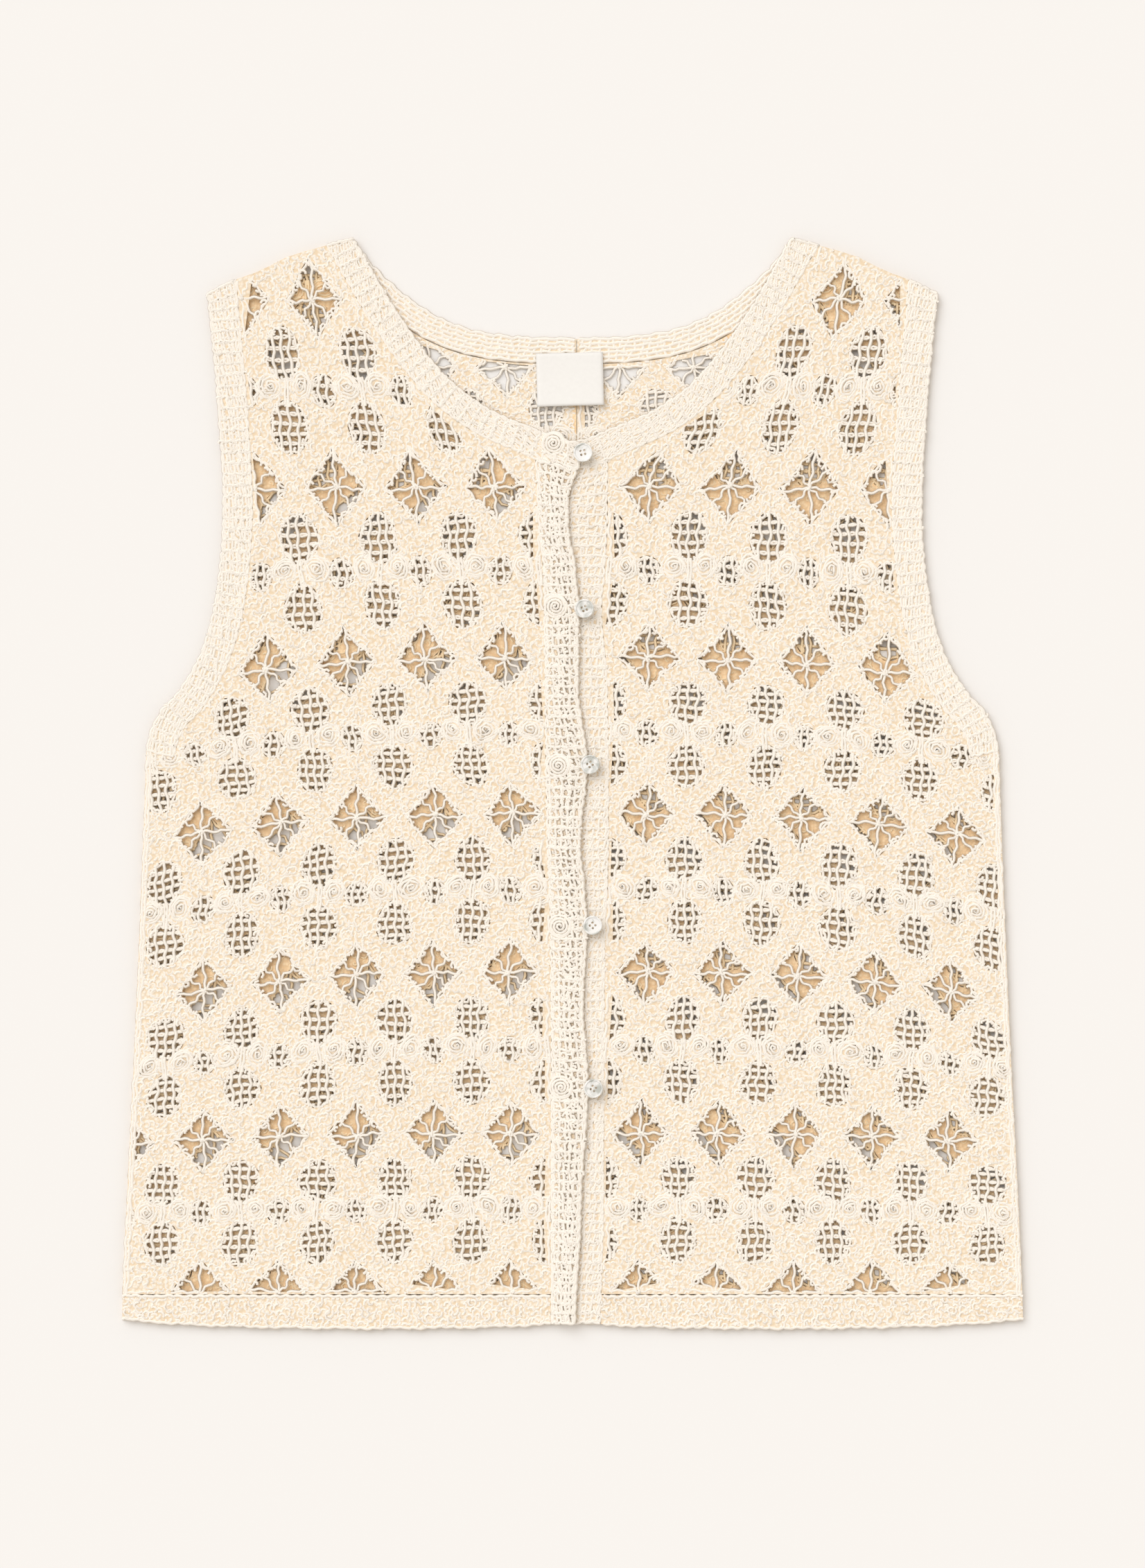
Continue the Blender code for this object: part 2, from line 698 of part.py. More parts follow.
def button_hole_cutter():
    """Four drills in one guide object, placed with each button."""
    points, faces = [], []
    for hole in range(4):
        around = math.pi / 4 + hole * math.pi / 2
        x, y = BUTTON_HOLE_CIRCLE * math.cos(around), BUTTON_HOLE_CIRCLE * math.sin(around)
        start = len(points)
        for z in (-1.0, BUTTON_HEIGHT + 1.0):
            for i in range(BUTTON_HOLE_SIDES):
                turn = 2 * math.pi * i / BUTTON_HOLE_SIDES
                points.append((
                    x + BUTTON_HOLE_RADIUS * math.cos(turn),
                    y + BUTTON_HOLE_RADIUS * math.sin(turn),
                    z,
                ))
        for i in range(BUTTON_HOLE_SIDES):
            a, b = start + i, start + (i + 1) % BUTTON_HOLE_SIDES
            faces.append([a, b, b + BUTTON_HOLE_SIDES, a + BUTTON_HOLE_SIDES])
        faces.append([start + i for i in range(BUTTON_HOLE_SIDES)][::-1])
        faces.append([start + BUTTON_HOLE_SIDES + i for i in range(BUTTON_HOLE_SIDES)])
    return points, faces


def build_buttons():
    points, faces = button_mesh()
    hole_points, hole_faces = button_hole_cutter()
    seat = FRONT_BASE + CLOTH + ROW_RELIEF + BUTTON_LIFT
    for number, place in enumerate(BUTTONS, start=1):
        button = add_object(f"button_{number}", points, faces, "pearl_shell")
        cutter = add_object(f"button_{number}_drill", hole_points, hole_faces, "pearl_shell")
        spot = Vector((place.x, place.y, seat)) * MM
        turn = math.radians(12.0 * number)
        for obj in (button, cutter):
            obj.location = spot
            obj.rotation_euler.z = turn
        cutter.hide_render = True
        cutter.display_type = "WIRE"
        holes = button.modifiers.new("holes", "BOOLEAN")
        holes.operation = "DIFFERENCE"
        holes.object = cutter


def main():
    clear_scene()
    build_panels()
    build_front_bands()
    build_neck_bands()
    build_armhole_bands()
    build_hem_bands()
    build_label()
    build_buttons()


main()
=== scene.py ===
"""Looks of the sleeveless crocheted top: the yarn of its lace, bands and edges, its buttons and its bare label.

The frame has +X to the right and +Y to the neck as one looks down on the top, and +Z up.
Every size is in millimetres until a mesh is made. Left and right are as seen from above.
"""

import math
import random
from collections import namedtuple

import bpy
import numpy as np
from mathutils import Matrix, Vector
from mathutils.geometry import delaunay_2d_cdt


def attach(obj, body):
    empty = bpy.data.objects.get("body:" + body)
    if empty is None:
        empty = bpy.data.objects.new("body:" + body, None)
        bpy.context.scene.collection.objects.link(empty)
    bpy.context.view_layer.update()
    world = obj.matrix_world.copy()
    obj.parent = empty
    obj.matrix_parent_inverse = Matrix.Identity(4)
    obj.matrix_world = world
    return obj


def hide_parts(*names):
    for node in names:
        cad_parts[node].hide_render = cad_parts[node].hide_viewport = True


MM = 0.001
LEFT, RIGHT = -1, 1
WORDS = {LEFT: "left", RIGHT: "right"}

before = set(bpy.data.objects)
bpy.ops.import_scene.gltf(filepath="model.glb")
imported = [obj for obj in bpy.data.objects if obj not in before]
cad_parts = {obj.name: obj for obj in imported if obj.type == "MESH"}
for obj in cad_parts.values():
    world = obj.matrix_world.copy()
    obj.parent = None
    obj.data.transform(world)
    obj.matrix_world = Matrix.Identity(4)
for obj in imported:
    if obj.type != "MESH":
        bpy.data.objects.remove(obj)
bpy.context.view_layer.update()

# The photo is taken from straight above: its height in pixels, its scale, and the camera
PHOTO_TALL = 2262
MM_PER_PIXEL = 0.37
CAMERA_HEIGHT = 2200.0
SENSOR = 36.0

# Thickness of the cloth and heights of its layers
CLOTH = 2.4
BACK_BASE = 0.0
FRONT_BASE = 3.0
SEAM_GAP = 0.3
GROUND_LOW, GROUND_TOP = 0.3, 1.6

# Yarn: half its thickness, how far apart its turns lie, how it flattens, and the corners of its section
YARN = 0.8
FINE_YARN = 0.72
RAY_YARN, SLANT_RAY_YARN = 0.75, 0.68
UPRIGHT_YARN = 0.82
EDGE_YARN = 0.9
ROW_YARN = 0.86
CORD_YARN = 1.02
YARN_PITCH = 1.55
YARN_SPREAD = 1.4
YARN_SIDES = 3

# How long a straight bit of yarn is, where the lace is seen well and where it lies under the fronts
PAD_STEP, COVERED_PAD_STEP, COVERED_PITCH = 1.75, 3.0, 2.6
NET_STEP, COVERED_NET_STEP = 1.7, 3.2
CORD_STEP, COVERED_CORD_STEP = 2.6, 3.5

# Bands crocheted round the panels
NECK_BAND = 14.0
BACK_NECK_BAND = 13.7
ARM_BAND = 15.0
STATION_PITCH = 12.0
HEM_BAND = 15.5
PLACKET = 17.0
HEM_STEPS = 7
BACK_SEAM_X = 2.2

# The left front laps over the right one
UNDERLAP = 5.0
NECK_OPENING_X = 3.0
LAP_SLOPE = 14.0
LAP_RISE = 3.5

Point = namedtuple("Point", "x y")
SHOULDER = (Point(117, 290.5), Point(150, 281.5), Point(165, 274), Point(185, 266.5), Point(194.3, 261))
ARMHOLE = (
    Point(194.3, 261),
    Point(191.5, 236),
    Point(188.2, 196),
    Point(185.6, 148),
    Point(188.6, 106),
    Point(195.5, 75),
    Point(208, 51),
    Point(221.5, 36),
    Point(227, 18),
)
SIDE = (Point(227, 18), Point(229.4, -50), Point(233, -135), Point(237.4, -222), Point(239.6, -271.7))
HEM_TOP = -272.0
HEM = (Point(240, -285.5), Point(200, -288.6), Point(127, -290.5), Point(55, -290), Point(10, -288))
FRONT_NECK = (
    Point(116.5, 290.3),
    Point(104, 268),
    Point(92, 248.5),
    Point(78, 229),
    Point(63.5, 213),
    Point(45, 199.5),
    Point(24, 190.5),
    Point(10, 184.4),
    Point(0, 182.0),
    Point(-6, 181.5),
)
BACK_NECK = (
    Point(116.5, 290.3),
    Point(106, 276),
    Point(93, 264),
    Point(76, 251.5),
    Point(56, 243),
    Point(30, 238.7),
    Point(-3, 238),
)
FrontLine = namedtuple("FrontLine", "y left opening right")
FRONT_LINES = (
    FrontLine(172, -19.6, 2.0, 18.5),
    FrontLine(157, -18.6, -2.6, 18.5),
    FrontLine(135, -17.8, -2.6, 18.5),
    FrontLine(115, -15.2, 1.1, 17.0),
    FrontLine(94, -14.9, 3.0, 15.2),
    FrontLine(52, -14.4, 2.6, 18.4),
    FrontLine(10, -14.1, 7.4, 19.0),
    FrontLine(-32, -13.3, 3.7, 19.0),
    FrontLine(-60, -12.2, 6.3, 18.5),
    FrontLine(-75, -11.5, 7.4, 17.0),
    FrontLine(-118, -11.2, 5.2, 16.8),
    FrontLine(-161, -11.1, 7.8, 16.6),
    FrontLine(-225, -11.1, 4.1, 16.3),
    FrontLine(-288, -11.1, 1.1, 14.8),
)
FRONT_STEP = 12.0
BUTTONS = (Point(5.5, 176.1), Point(6.3, 93.2), Point(9.3, 10.4), Point(10.7, -75.1), Point(11.1, -161.7))

# Lace: rows of stars, and the repeat between two of them
LaceRow = namedtuple("LaceRow", "y centre first pitch droop")
FRONT_LACE = (
    LaceRow(258, 2.0, 62.0, 39.0, 0),
    LaceRow(158, 0.0, 41.0, 42.6, 2),
    LaceRow(67, 2.3, 38.3, 42.2, 12),
    LaceRow(-16, 3.7, 35.6, 41.3, 10.5),
    LaceRow(-100, 2.7, 36.6, 40.6, 10.5),
    LaceRow(-186, 1.7, 34.7, 41.0, 4),
    LaceRow(-270.6, 1.0, 34.0, 41.4, 0),
)
BACK_LACE = (
    LaceRow(222, -5.8, 30.2, 41.0, 0),
    LaceRow(144, -3.5, 27.5, 41.0, 0),
    LaceRow(54, -2.0, 26.0, 41.3, 8),
    LaceRow(-29, -1.5, 25.0, 41.3, 9),
    LaceRow(-113, -1.0, 25.0, 41.3, 9),
    LaceRow(-198, -1.0, 25.0, 41.3, 4),
    LaceRow(-283, -1.0, 25.0, 41.3, 0),
)
DROOP_REACH = 200.0
CELL_WIDE, CELL_TALL = 41.2, 84.0
STAR_WIDE, STAR_TALL = 15.4, 17.2
Oval = namedtuple("Oval", "across down wide tall columns rows")
OVALS = (
    Oval(0.5 * CELL_WIDE, 24.0, 9.3, 11.5, 4, 5),
    Oval(0.0, 40.5, 5.6, 6.6, 3, 3),
    Oval(0.5 * CELL_WIDE, 57.0, 9.3, 11.5, 4, 5),
)
ROSETTES = (Point(12.2, 38.6), Point(-12.2, 38.6))
ROSETTE_SIZE = 6.3

# The twin strands that join two large ovals: where they start and end, and how far each lies from the middle
TWIN_TOP, TWIN_END, TWIN_APART = 34.0, 47.5, 0.75

# Curls that fill the dense lace: how far apart they lie, and how far they may reach over an opening
CURL_SPACING = 2.3
HEM_CURL_SPACING = 2.0
CURL_GRID = 0.8
BAND_CURL_GRID = 0.9
CURL_OVERHANG = 1.2
YARN_OVERHANG = 2.3
ROSETTE_MERGE = 1.5

# Around each gap of the front, how much of the back is seen, and over how many millimetres below the neck edge
# the back turns from seen to covered, which also sets how its painted shade comes in
SEEN_STAR = (19.0, 21.0)
SEEN_OVAL_MARGIN = 2.2
NECK_SHADE = 12.0

# The start of each row of random numbers
PAD_SEED, NET_SEED, BAND_SEED, SHAKE_SEED = 11, 21, 51, 7

# Every point of the yarn is shaken a little, so that no two stitches are alike
SHAKE = np.random.default_rng(SHAKE_SEED)


# Curves in the plane

def spline(points, steps=6):
    """A smooth curve through the points, with that many steps between two of them."""
    padded = [points[0], *points, points[-1]]
    curve = []
    for a, b, c, d in zip(padded, padded[1:], padded[2:], padded[3:]):
        for step in range(steps):
            t = step / steps
            curve.append(tuple(
                0.5 * (2 * q + (r - p) * t + (2 * p - 5 * q + 4 * r - s) * t**2
                       + (3 * q - p - 3 * r + s) * t**3)
                for p, q, r, s in zip(a, b, c, d)
            ))
    curve.append(tuple(points[-1]))
    return np.array(curve)


def lengths_along(curve):
    return np.concatenate([[0.0], np.cumsum(np.linalg.norm(np.diff(curve, axis=0), axis=1))])


def spaced(curve, pitch):
    """The curve again, with points about that far apart."""
    lengths = lengths_along(curve)
    count = max(1, round(lengths[-1] / pitch))
    at = np.linspace(0, lengths[-1], count + 1)
    return np.stack([np.interp(at, lengths, curve[:, k]) for k in range(curve.shape[1])], axis=1)


def offset(curve, distance):
    """The curve moved to its left-hand side by that distance."""
    along = np.gradient(curve, axis=0)
    along /= np.linalg.norm(along, axis=1)[:, None]
    return curve + distance * np.stack([-along[:, 1], along[:, 0]], axis=1)


def mirrored(curve, side):
    return curve * [side, 1.0]


def height_on(curve, x):
    """The y of a curve at x, where it runs from side to side."""
    order = np.argsort(curve[:, 0])
    return np.interp(x, curve[order, 0], curve[order, 1])


def front_x(column, y):
    """A front band's edge at height y, eased between the rows of its table."""
    heights = np.array([line.y for line in FRONT_LINES])[::-1]
    values = np.array([getattr(line, column) for line in FRONT_LINES])[::-1]
    y = np.clip(y, heights[0], heights[-1])
    upper = np.clip(np.searchsorted(heights, y, side="right"), 1, len(heights) - 1)
    t = (y - heights[upper - 1]) / (heights[upper] - heights[upper - 1])
    t = t * t * (3 - 2 * t)
    return values[upper - 1] * (1 - t) + values[upper] * t


def inset_at_shoulder(curve, x):
    curve[0] = (x, height_on(spline(SHOULDER), x))
    return curve


def armhole_edge(side, inset):
    curve = offset(spaced(spline(ARMHOLE), STATION_PITCH), -inset)
    return mirrored(inset_at_shoulder(curve, ARMHOLE[0].x - inset), side)


def neck_edge(table, side, inset):
    curve = offset(spaced(spline(table), STATION_PITCH / 2), inset)
    return mirrored(inset_at_shoulder(curve, SHOULDER[0].x + inset), side)


def side_edge(side):
    return mirrored(spaced(spline(SIDE), 24.0), side)


def shoulder_edge(side, start, end):
    curve = spaced(spline(SHOULDER), 9.0)
    return mirrored(curve[(curve[:, 0] > start + 3) & (curve[:, 0] < end - 3)], side)


def front_line(column, side, inset):
    heights = np.arange(FRONT_LINES[0].y, HEM_TOP - 1, -FRONT_STEP)
    return np.stack([front_x(column, heights) + side * inset, heights], axis=1)


def panel_outline(side, neck, neck_inset, middle):
    """The cut of a lace panel: shoulder, armhole, side, hem, middle and neck, each just off its band."""
    armhole, edge = armhole_edge(side, ARM_BAND + SEAM_GAP), side_edge(side)
    neck_curve = neck_edge(neck, side, neck_inset + SEAM_GAP)
    top_x, low_x = middle[0, 0], middle[-1, 0]
    neckline = neck_curve[side * (neck_curve[:, 0] - top_x) > STATION_PITCH / 2]
    hem_x = np.linspace(edge[-1, 0], low_x, HEM_STEPS + 1)
    underarm = edge[:1] - [0.0, 2 * SEAM_GAP]
    return np.concatenate([
        shoulder_edge(side, SHOULDER[0].x + neck_inset, ARMHOLE[0].x - ARM_BAND),
        armhole,
        underarm,
        edge[1:-1],
        np.stack([hem_x, np.full(len(hem_x), HEM_TOP + SEAM_GAP)], axis=1),
        middle[-2:0:-1],
        [[top_x, height_on(neck_curve, top_x)]],
        neckline[::-1],
    ])


def inside(points, outline):
    """Which of the points lie inside a closed outline."""
    x, y = points[:, 0][:, None], points[:, 1][:, None]
    x0, y0 = outline.T
    x1, y1 = np.roll(outline, -1, axis=0).T
    rise = np.where(y1 == y0, 1e-9, y1 - y0)
    crossing = ((y0 > y) != (y1 > y)) & (x < x0 + (x1 - x0) * (y - y0) / rise)
    return crossing.sum(axis=1) % 2 == 1


def depth_in(points, outline):
    """How far the points lie inside a closed outline; below zero outside."""
    a, b = outline, np.roll(outline, -1, axis=0)
    d = b - a
    rel = points[:, None, :] - a[None]
    t = np.clip((rel * d).sum(-1) / np.maximum((d * d).sum(-1), 1e-9), 0, 1)
    near = np.linalg.norm(rel - t[..., None] * d, axis=-1).min(axis=1)
    return np.where(inside(points, outline), near, -near)


# Meshes

def add_mesh(name, points, faces, edges=()):
    """A mesh object from points in millimetres."""
    mesh = bpy.data.meshes.new(name)
    mesh.from_pydata((np.asarray(points) * MM).tolist(), edges, faces)
    mesh.update()
    obj = bpy.data.objects.new(name, mesh)
    bpy.context.scene.collection.objects.link(obj)
    return obj


def finish(obj, material):
    obj.data.materials.clear()
    obj.data.materials.append(material)
    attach(obj, "root")
    return obj


def triangles(loops, extra):
    """Points and faces between the first loop and the others, which are holes, also using the extra points."""
    points = np.concatenate([*loops, extra]) if len(extra) else np.concatenate(loops)
    edges, start = [], 0
    for loop in loops:
        count = len(loop)
        edges += [(start + i, start + (i + 1) % count) for i in range(count)]
        start += count
    found = delaunay_2d_cdt([Vector(p) for p in points], edges, [], 0, 1e-6)
    made, faces = np.array([tuple(v) for v in found[0]]), np.array(found[2])
    middles = made[faces].mean(axis=1)
    keep = inside(middles, loops[0])
    for loop in loops[1:]:
        keep &= ~inside(middles, loop)
    a, b, c = (made[faces[:, k]] for k in range(3))
    turned = (b - a)[:, 0] * (c - a)[:, 1] < (b - a)[:, 1] * (c - a)[:, 0]
    faces[turned] = faces[turned][:, ::-1]
    return made, faces[keep]


def plate(name, loops, low, high, extra=()):
    """A closed wall over loops, the first its outline and the rest its holes, between two heights."""
    flat, faces = triangles(loops, np.reshape(extra, (-1, 2)))
    count = len(flat)
    sides = {(face[k], face[(k + 1) % 3]) for face in faces.tolist() for k in range(3)}
    walls = [[a, b, b + count, a + count] for a, b in sorted(sides) if (b, a) not in sides]
    points = np.concatenate([np.column_stack([flat, z(flat)]) for z in (low, high)])
    return add_mesh(name, points, faces[:, ::-1].tolist() + (faces + count).tolist() + walls)


def shaken(points, sideways, upward):
    """The points, each moved a little to the side and up or down."""
    reach = np.array([sideways, sideways, upward])[:points.shape[1]]
    return points + SHAKE.uniform(-1, 1, points.shape) * reach


def level(z):
    return lambda points: np.full(len(points), z)


# Node trees

def add_node(tree, kind, inputs=None, **settings):
    """A node with its own settings, and with values on its sockets."""
    made = tree.nodes.new(kind)
    for name, value in settings.items():
        setattr(made, name, value)
    for socket, value in (inputs or {}).items():
        made.inputs[socket].default_value = value
    return made


def join(tree, *pairs):
    for start, end in pairs:
        tree.links.new(start, end)


# Yarn: paths in the air that Geometry Nodes turn into round yarn

def yarn_tree():
    """Sweeps a round section along every path, as thick as the path's own attribute says."""
    tree = bpy.data.node_groups.new("yarn", "GeometryNodeTree")
    tree.is_modifier = True
    for name, way, kind in (
        ("Paths", "INPUT", "NodeSocketGeometry"),
        ("Sides", "INPUT", "NodeSocketInt"),
        ("Finish", "INPUT", "NodeSocketMaterial"),
        ("Yarn", "OUTPUT", "NodeSocketGeometry"),
    ):
        tree.interface.new_socket(name, in_out=way, socket_type=kind)
    given, made = add_node(tree, "NodeGroupInput"), add_node(tree, "NodeGroupOutput")
    curve = add_node(tree, "GeometryNodeMeshToCurve")
    upright = add_node(tree, "GeometryNodeSetCurveNormal", mode="Z_UP")
    thick = add_node(tree, "GeometryNodeInputNamedAttribute", {"Name": "thick"}, data_type="FLOAT")
    ring = add_node(tree, "GeometryNodeCurvePrimitiveCircle", {"Radius": 1.0})
    turned = add_node(tree, "GeometryNodeTransform", {
        "Rotation": (0.0, 0.0, math.radians(-90.0)),
        "Scale": (1.0, YARN_SPREAD, 1.0),
    })
    sweep = add_node(tree, "GeometryNodeCurveToMesh", {"Fill Caps": True})
    real = add_node(tree, "GeometryNodeRealizeInstances")
    smooth = add_node(tree, "GeometryNodeSetShadeSmooth")
    paint = add_node(tree, "GeometryNodeSetMaterial")
    join(
        tree,
        (given.outputs["Paths"], curve.inputs["Mesh"]),
        (given.outputs["Sides"], ring.inputs["Resolution"]),
        (given.outputs["Finish"], paint.inputs["Material"]),
        (curve.outputs["Curve"], upright.inputs["Curve"]),
        (upright.outputs["Curve"], sweep.inputs["Curve"]),
        (ring.outputs["Curve"], turned.inputs["Geometry"]),
        (turned.outputs["Geometry"], sweep.inputs["Profile Curve"]),
        (thick.outputs["Attribute"], sweep.inputs["Scale"]),
        (sweep.outputs["Mesh"], real.inputs["Geometry"]),
        (real.outputs["Geometry"], smooth.inputs["Geometry"]),
        (smooth.outputs["Geometry"], paint.inputs["Geometry"]),
        (paint.outputs["Geometry"], made.inputs["Yarn"]),
    )
    return tree


def set_input(modifier, name, value):
    for item in modifier.node_group.interface.items_tree:
        if item.item_type == "SOCKET" and item.in_out == "INPUT" and item.name == name:
            modifier[item.identifier] = value


YARN_TREE = yarn_tree()


def yarn_piece(name, strands, shade=None):
    """One mesh of yarn. A strand is its points, its half thickness and the height of the cloth's top there, by
    which the material paints shade on yarn that lies deep; shade, if given, is how much painted shade under the
    fronts each point takes.
    """
    strands = [strand for strand in strands if len(strand[0]) > 1]
    counts = [len(strand[0]) for strand in strands]
    points = np.concatenate([strand[0] for strand in strands])
    index = np.arange(len(points) - 1)
    index = index[~np.isin(index, np.cumsum(counts) - 1)]
    source = add_mesh(name + "_paths", points, [], np.stack([index, index + 1], axis=1).tolist())
    spread = {
        "thick": np.concatenate([np.broadcast_to(strand[1], len(strand[0])) for strand in strands]) * MM,
        "ground": np.concatenate([np.broadcast_to(strand[2], len(strand[0])) for strand in strands]) * MM,
    }
    if shade is not None:
        spread["shade"] = shade(points)
    for attribute, values in spread.items():
        made = source.data.attributes.new(attribute, "FLOAT", "POINT")
        made.data.foreach_set("value", values.astype(np.float32))
    modifier = source.modifiers.new("yarn", "NODES")
    modifier.node_group = YARN_TREE
    set_input(modifier, "Sides", YARN_SIDES)
    set_input(modifier, "Finish", CREAM)
    graph = bpy.context.evaluated_depsgraph_get()
    mesh = bpy.data.meshes.new_from_object(source.evaluated_get(graph))
    mesh.name = name
    bpy.data.objects.remove(source)
    obj = bpy.data.objects.new(name, mesh)
    bpy.context.scene.collection.objects.link(obj)
    if "thick" in mesh.attributes:
        mesh.attributes.remove(mesh.attributes["thick"])
    return finish(obj, CREAM)


def clipped(points, keep):
    """The stretches of a path whose points are kept."""
    runs, start = [], None
    for i, kept in enumerate(np.append(keep, False)):
        if kept and start is None:
            start = i
        if not kept and start is not None:
            if i - start > 1:
                runs.append(points[start:i])
            start = None
    return runs


# Finishes

MIX_SHARE, MIX_LOW, MIX_HIGH, MIX_RESULT = 0, 6, 7, 2


def new_finish(name, values):
    """A material, its node tree and its shader, with what is the same all over on the shader's own sockets."""
    made = bpy.data.materials.new(name)
    made.use_nodes = True
    shader = made.node_tree.nodes["Principled BSDF"]
    for socket, value in values.items():
        shader.inputs[socket].default_value = value
    return made, made.node_tree, shader


def cotton(name, colour, crevice_shade, covered_shade):
    """Matt cotton yarn, cream on its crown, with painted shade in tan in the hollows down by the cloth's top, and
    a stronger painted shade in tan where the fronts cover it.
    """
    made, tree, shader = new_finish(name, {
        "Roughness": 0.9,
        "Specular IOR Level": 0.15,
        "Sheen Weight": 0.15,
        "Sheen Roughness": 0.6,
    })
    place = add_node(tree, "ShaderNodeTexCoord")
    split = add_node(tree, "ShaderNodeSeparateXYZ")
    ground = add_node(tree, "ShaderNodeAttribute", attribute_name="ground")
    shade = add_node(tree, "ShaderNodeAttribute", attribute_name="shade")
    uneven = add_node(tree, "ShaderNodeTexNoise", {"Scale": 90.0, "Detail": 3.0})
    wander = add_node(tree, "ShaderNodeMath", {1: 0.8 * MM}, operation="MULTIPLY_ADD")
    height = add_node(tree, "ShaderNodeMath", operation="SUBTRACT")
    depth = add_node(tree, "ShaderNodeMapRange", {"From Min": -1.7 * MM, "From Max": -0.4 * MM},
                     interpolation_type="SMOOTHSTEP")
    # Painted shade: the crown's cream turns to tan as the yarn lies deeper below the cloth's top (a little noise
    # moves the edge), and the shade attribute turns it to a deeper tan where the fronts cover the back.
    lit = add_node(tree, "ShaderNodeMix", data_type="RGBA")
    lit.inputs[MIX_LOW].default_value = (*crevice_shade, 1.0)
    lit.inputs[MIX_HIGH].default_value = (*colour, 1.0)
    covered_shading = add_node(tree, "ShaderNodeMix", data_type="RGBA")
    covered_shading.inputs[MIX_HIGH].default_value = (*covered_shade, 1.0)
    fuzz = add_node(tree, "ShaderNodeTexNoise", {"Scale": 1400.0, "Detail": 2.0})
    bump = add_node(tree, "ShaderNodeBump", {"Strength": 0.4, "Distance": 0.3 * MM})
    join(
        tree,
        (place.outputs["Object"], split.inputs["Vector"]),
        (place.outputs["Object"], uneven.inputs["Vector"]),
        (place.outputs["Object"], fuzz.inputs["Vector"]),
        (uneven.outputs["Fac"], wander.inputs[0]),
        (split.outputs["Z"], wander.inputs[2]),
        (wander.outputs["Value"], height.inputs[0]),
        (ground.outputs["Fac"], height.inputs[1]),
        (height.outputs["Value"], depth.inputs["Value"]),
        (depth.outputs["Result"], lit.inputs[MIX_SHARE]),
        (shade.outputs["Fac"], covered_shading.inputs[MIX_SHARE]),
        (lit.outputs[MIX_RESULT], covered_shading.inputs[MIX_LOW]),
        (covered_shading.outputs[MIX_RESULT], shader.inputs["Base Color"]),
        (fuzz.outputs["Fac"], bump.inputs["Height"]),
        (bump.outputs["Normal"], shader.inputs["Normal"]),
    )
    return made


def patterned(name, high, low, values, bumps):
    """Cloth from a low colour to a high one, with a bump: the nodes that a pattern is then joined to."""
    made, tree, shader = new_finish(name, values)
    place = add_node(tree, "ShaderNodeTexCoord")
    mix = add_node(tree, "ShaderNodeMix", data_type="RGBA")
    mix.inputs[MIX_LOW].default_value = (*low, 1.0)
    mix.inputs[MIX_HIGH].default_value = (*high, 1.0)
    bump = add_node(tree, "ShaderNodeBump", bumps)
    join(
        tree,
        (mix.outputs[MIX_RESULT], shader.inputs["Base Color"]),
        (bump.outputs["Normal"], shader.inputs["Normal"]),
    )
    return made, tree, place.outputs["Object"], mix.inputs[MIX_SHARE], bump.inputs["Height"]


def knotted(name, colour, shade):
    """The cloth deep under the stitches: small knots, paler on top than between, the darker colour between them
    being painted shade.
    """
    made, tree, place, share, height = patterned(
        name, colour, shade, {"Roughness": 0.95}, {"Strength": 0.6, "Distance": 0.6 * MM})
    knots = add_node(tree, "ShaderNodeTexVoronoi", {"Scale": 520.0})
    top = add_node(tree, "ShaderNodeMapRange", {"From Min": 0.15, "From Max": 0.75, "To Min": 1.0, "To Max": 0.0})
    join(
        tree,
        (place, knots.inputs["Vector"]),
        (knots.outputs["Distance"], top.inputs["Value"]),
        (top.outputs["Result"], share),
        (top.outputs["Result"], height),
    )
    return made


def satin():
    """Woven label satin: an uneven grain, and fine threads across as a bump under a sheen."""
    made, tree, place, share, height = patterned(
        "white_satin", (0.90, 0.88, 0.85), (0.84, 0.82, 0.79), {"Roughness": 0.45, "Sheen Weight": 0.3},
        {"Strength": 0.3, "Distance": 0.3 * MM})
    grain = add_node(tree, "ShaderNodeTexNoise", {"Scale": 500.0, "Detail": 4.0})
    threads = add_node(tree, "ShaderNodeTexWave", {"Scale": 900.0, "Distortion": 0.6}, bands_direction="Y")
    join(
        tree,
        (place, grain.inputs["Vector"]),
        (place, threads.inputs["Vector"]),
        (grain.outputs["Fac"], share),
        (threads.outputs["Fac"], height),
    )
    return made


def pearl():
    """Shell: clouded grey and white layers under a hard gloss."""
    made, tree, shader = new_finish("river_shell", {"Roughness": 0.22, "Coat Weight": 0.6, "Coat Roughness": 0.1})
    place = add_node(tree, "ShaderNodeTexCoord")
    cloud = add_node(tree, "ShaderNodeTexNoise", {"Scale": 150.0, "Detail": 3.0, "Distortion": 1.2})
    ramp = add_node(tree, "ShaderNodeValToRGB")
    clouded, clear = ramp.color_ramp.elements
    clouded.position, clouded.color = 0.36, (0.50, 0.51, 0.47, 1)
    clear.position, clear.color = 0.56, (0.88, 0.87, 0.85, 1)
    join(
        tree,
        (place.outputs["Object"], cloud.inputs["Vector"]),
        (cloud.outputs["Fac"], ramp.inputs["Fac"]),
        (ramp.outputs["Color"], shader.inputs["Base Color"]),
    )
    return made


# Painted shade: the yarn's tan for its hollows and for where the fronts cover it; the ground's cream, deeper than
# the yarn's so that it reads as shade between the stitches, and its darker colour between the knots; and the
# whole tan ground of the back under the fronts.
CREAM = cotton("cream_cotton", (0.96, 0.90, 0.82), (0.92, 0.73, 0.52), (0.94, 0.75, 0.50))
GROUND = knotted("cotton_ground", (0.94, 0.86, 0.75), (0.81, 0.65, 0.46))
PAINTED_SHADE_GROUND = knotted("covered_ground_painted_shade", (0.98, 0.76, 0.50), (0.86, 0.61, 0.36))
SATIN = satin()
SHELL = pearl()


# Lace

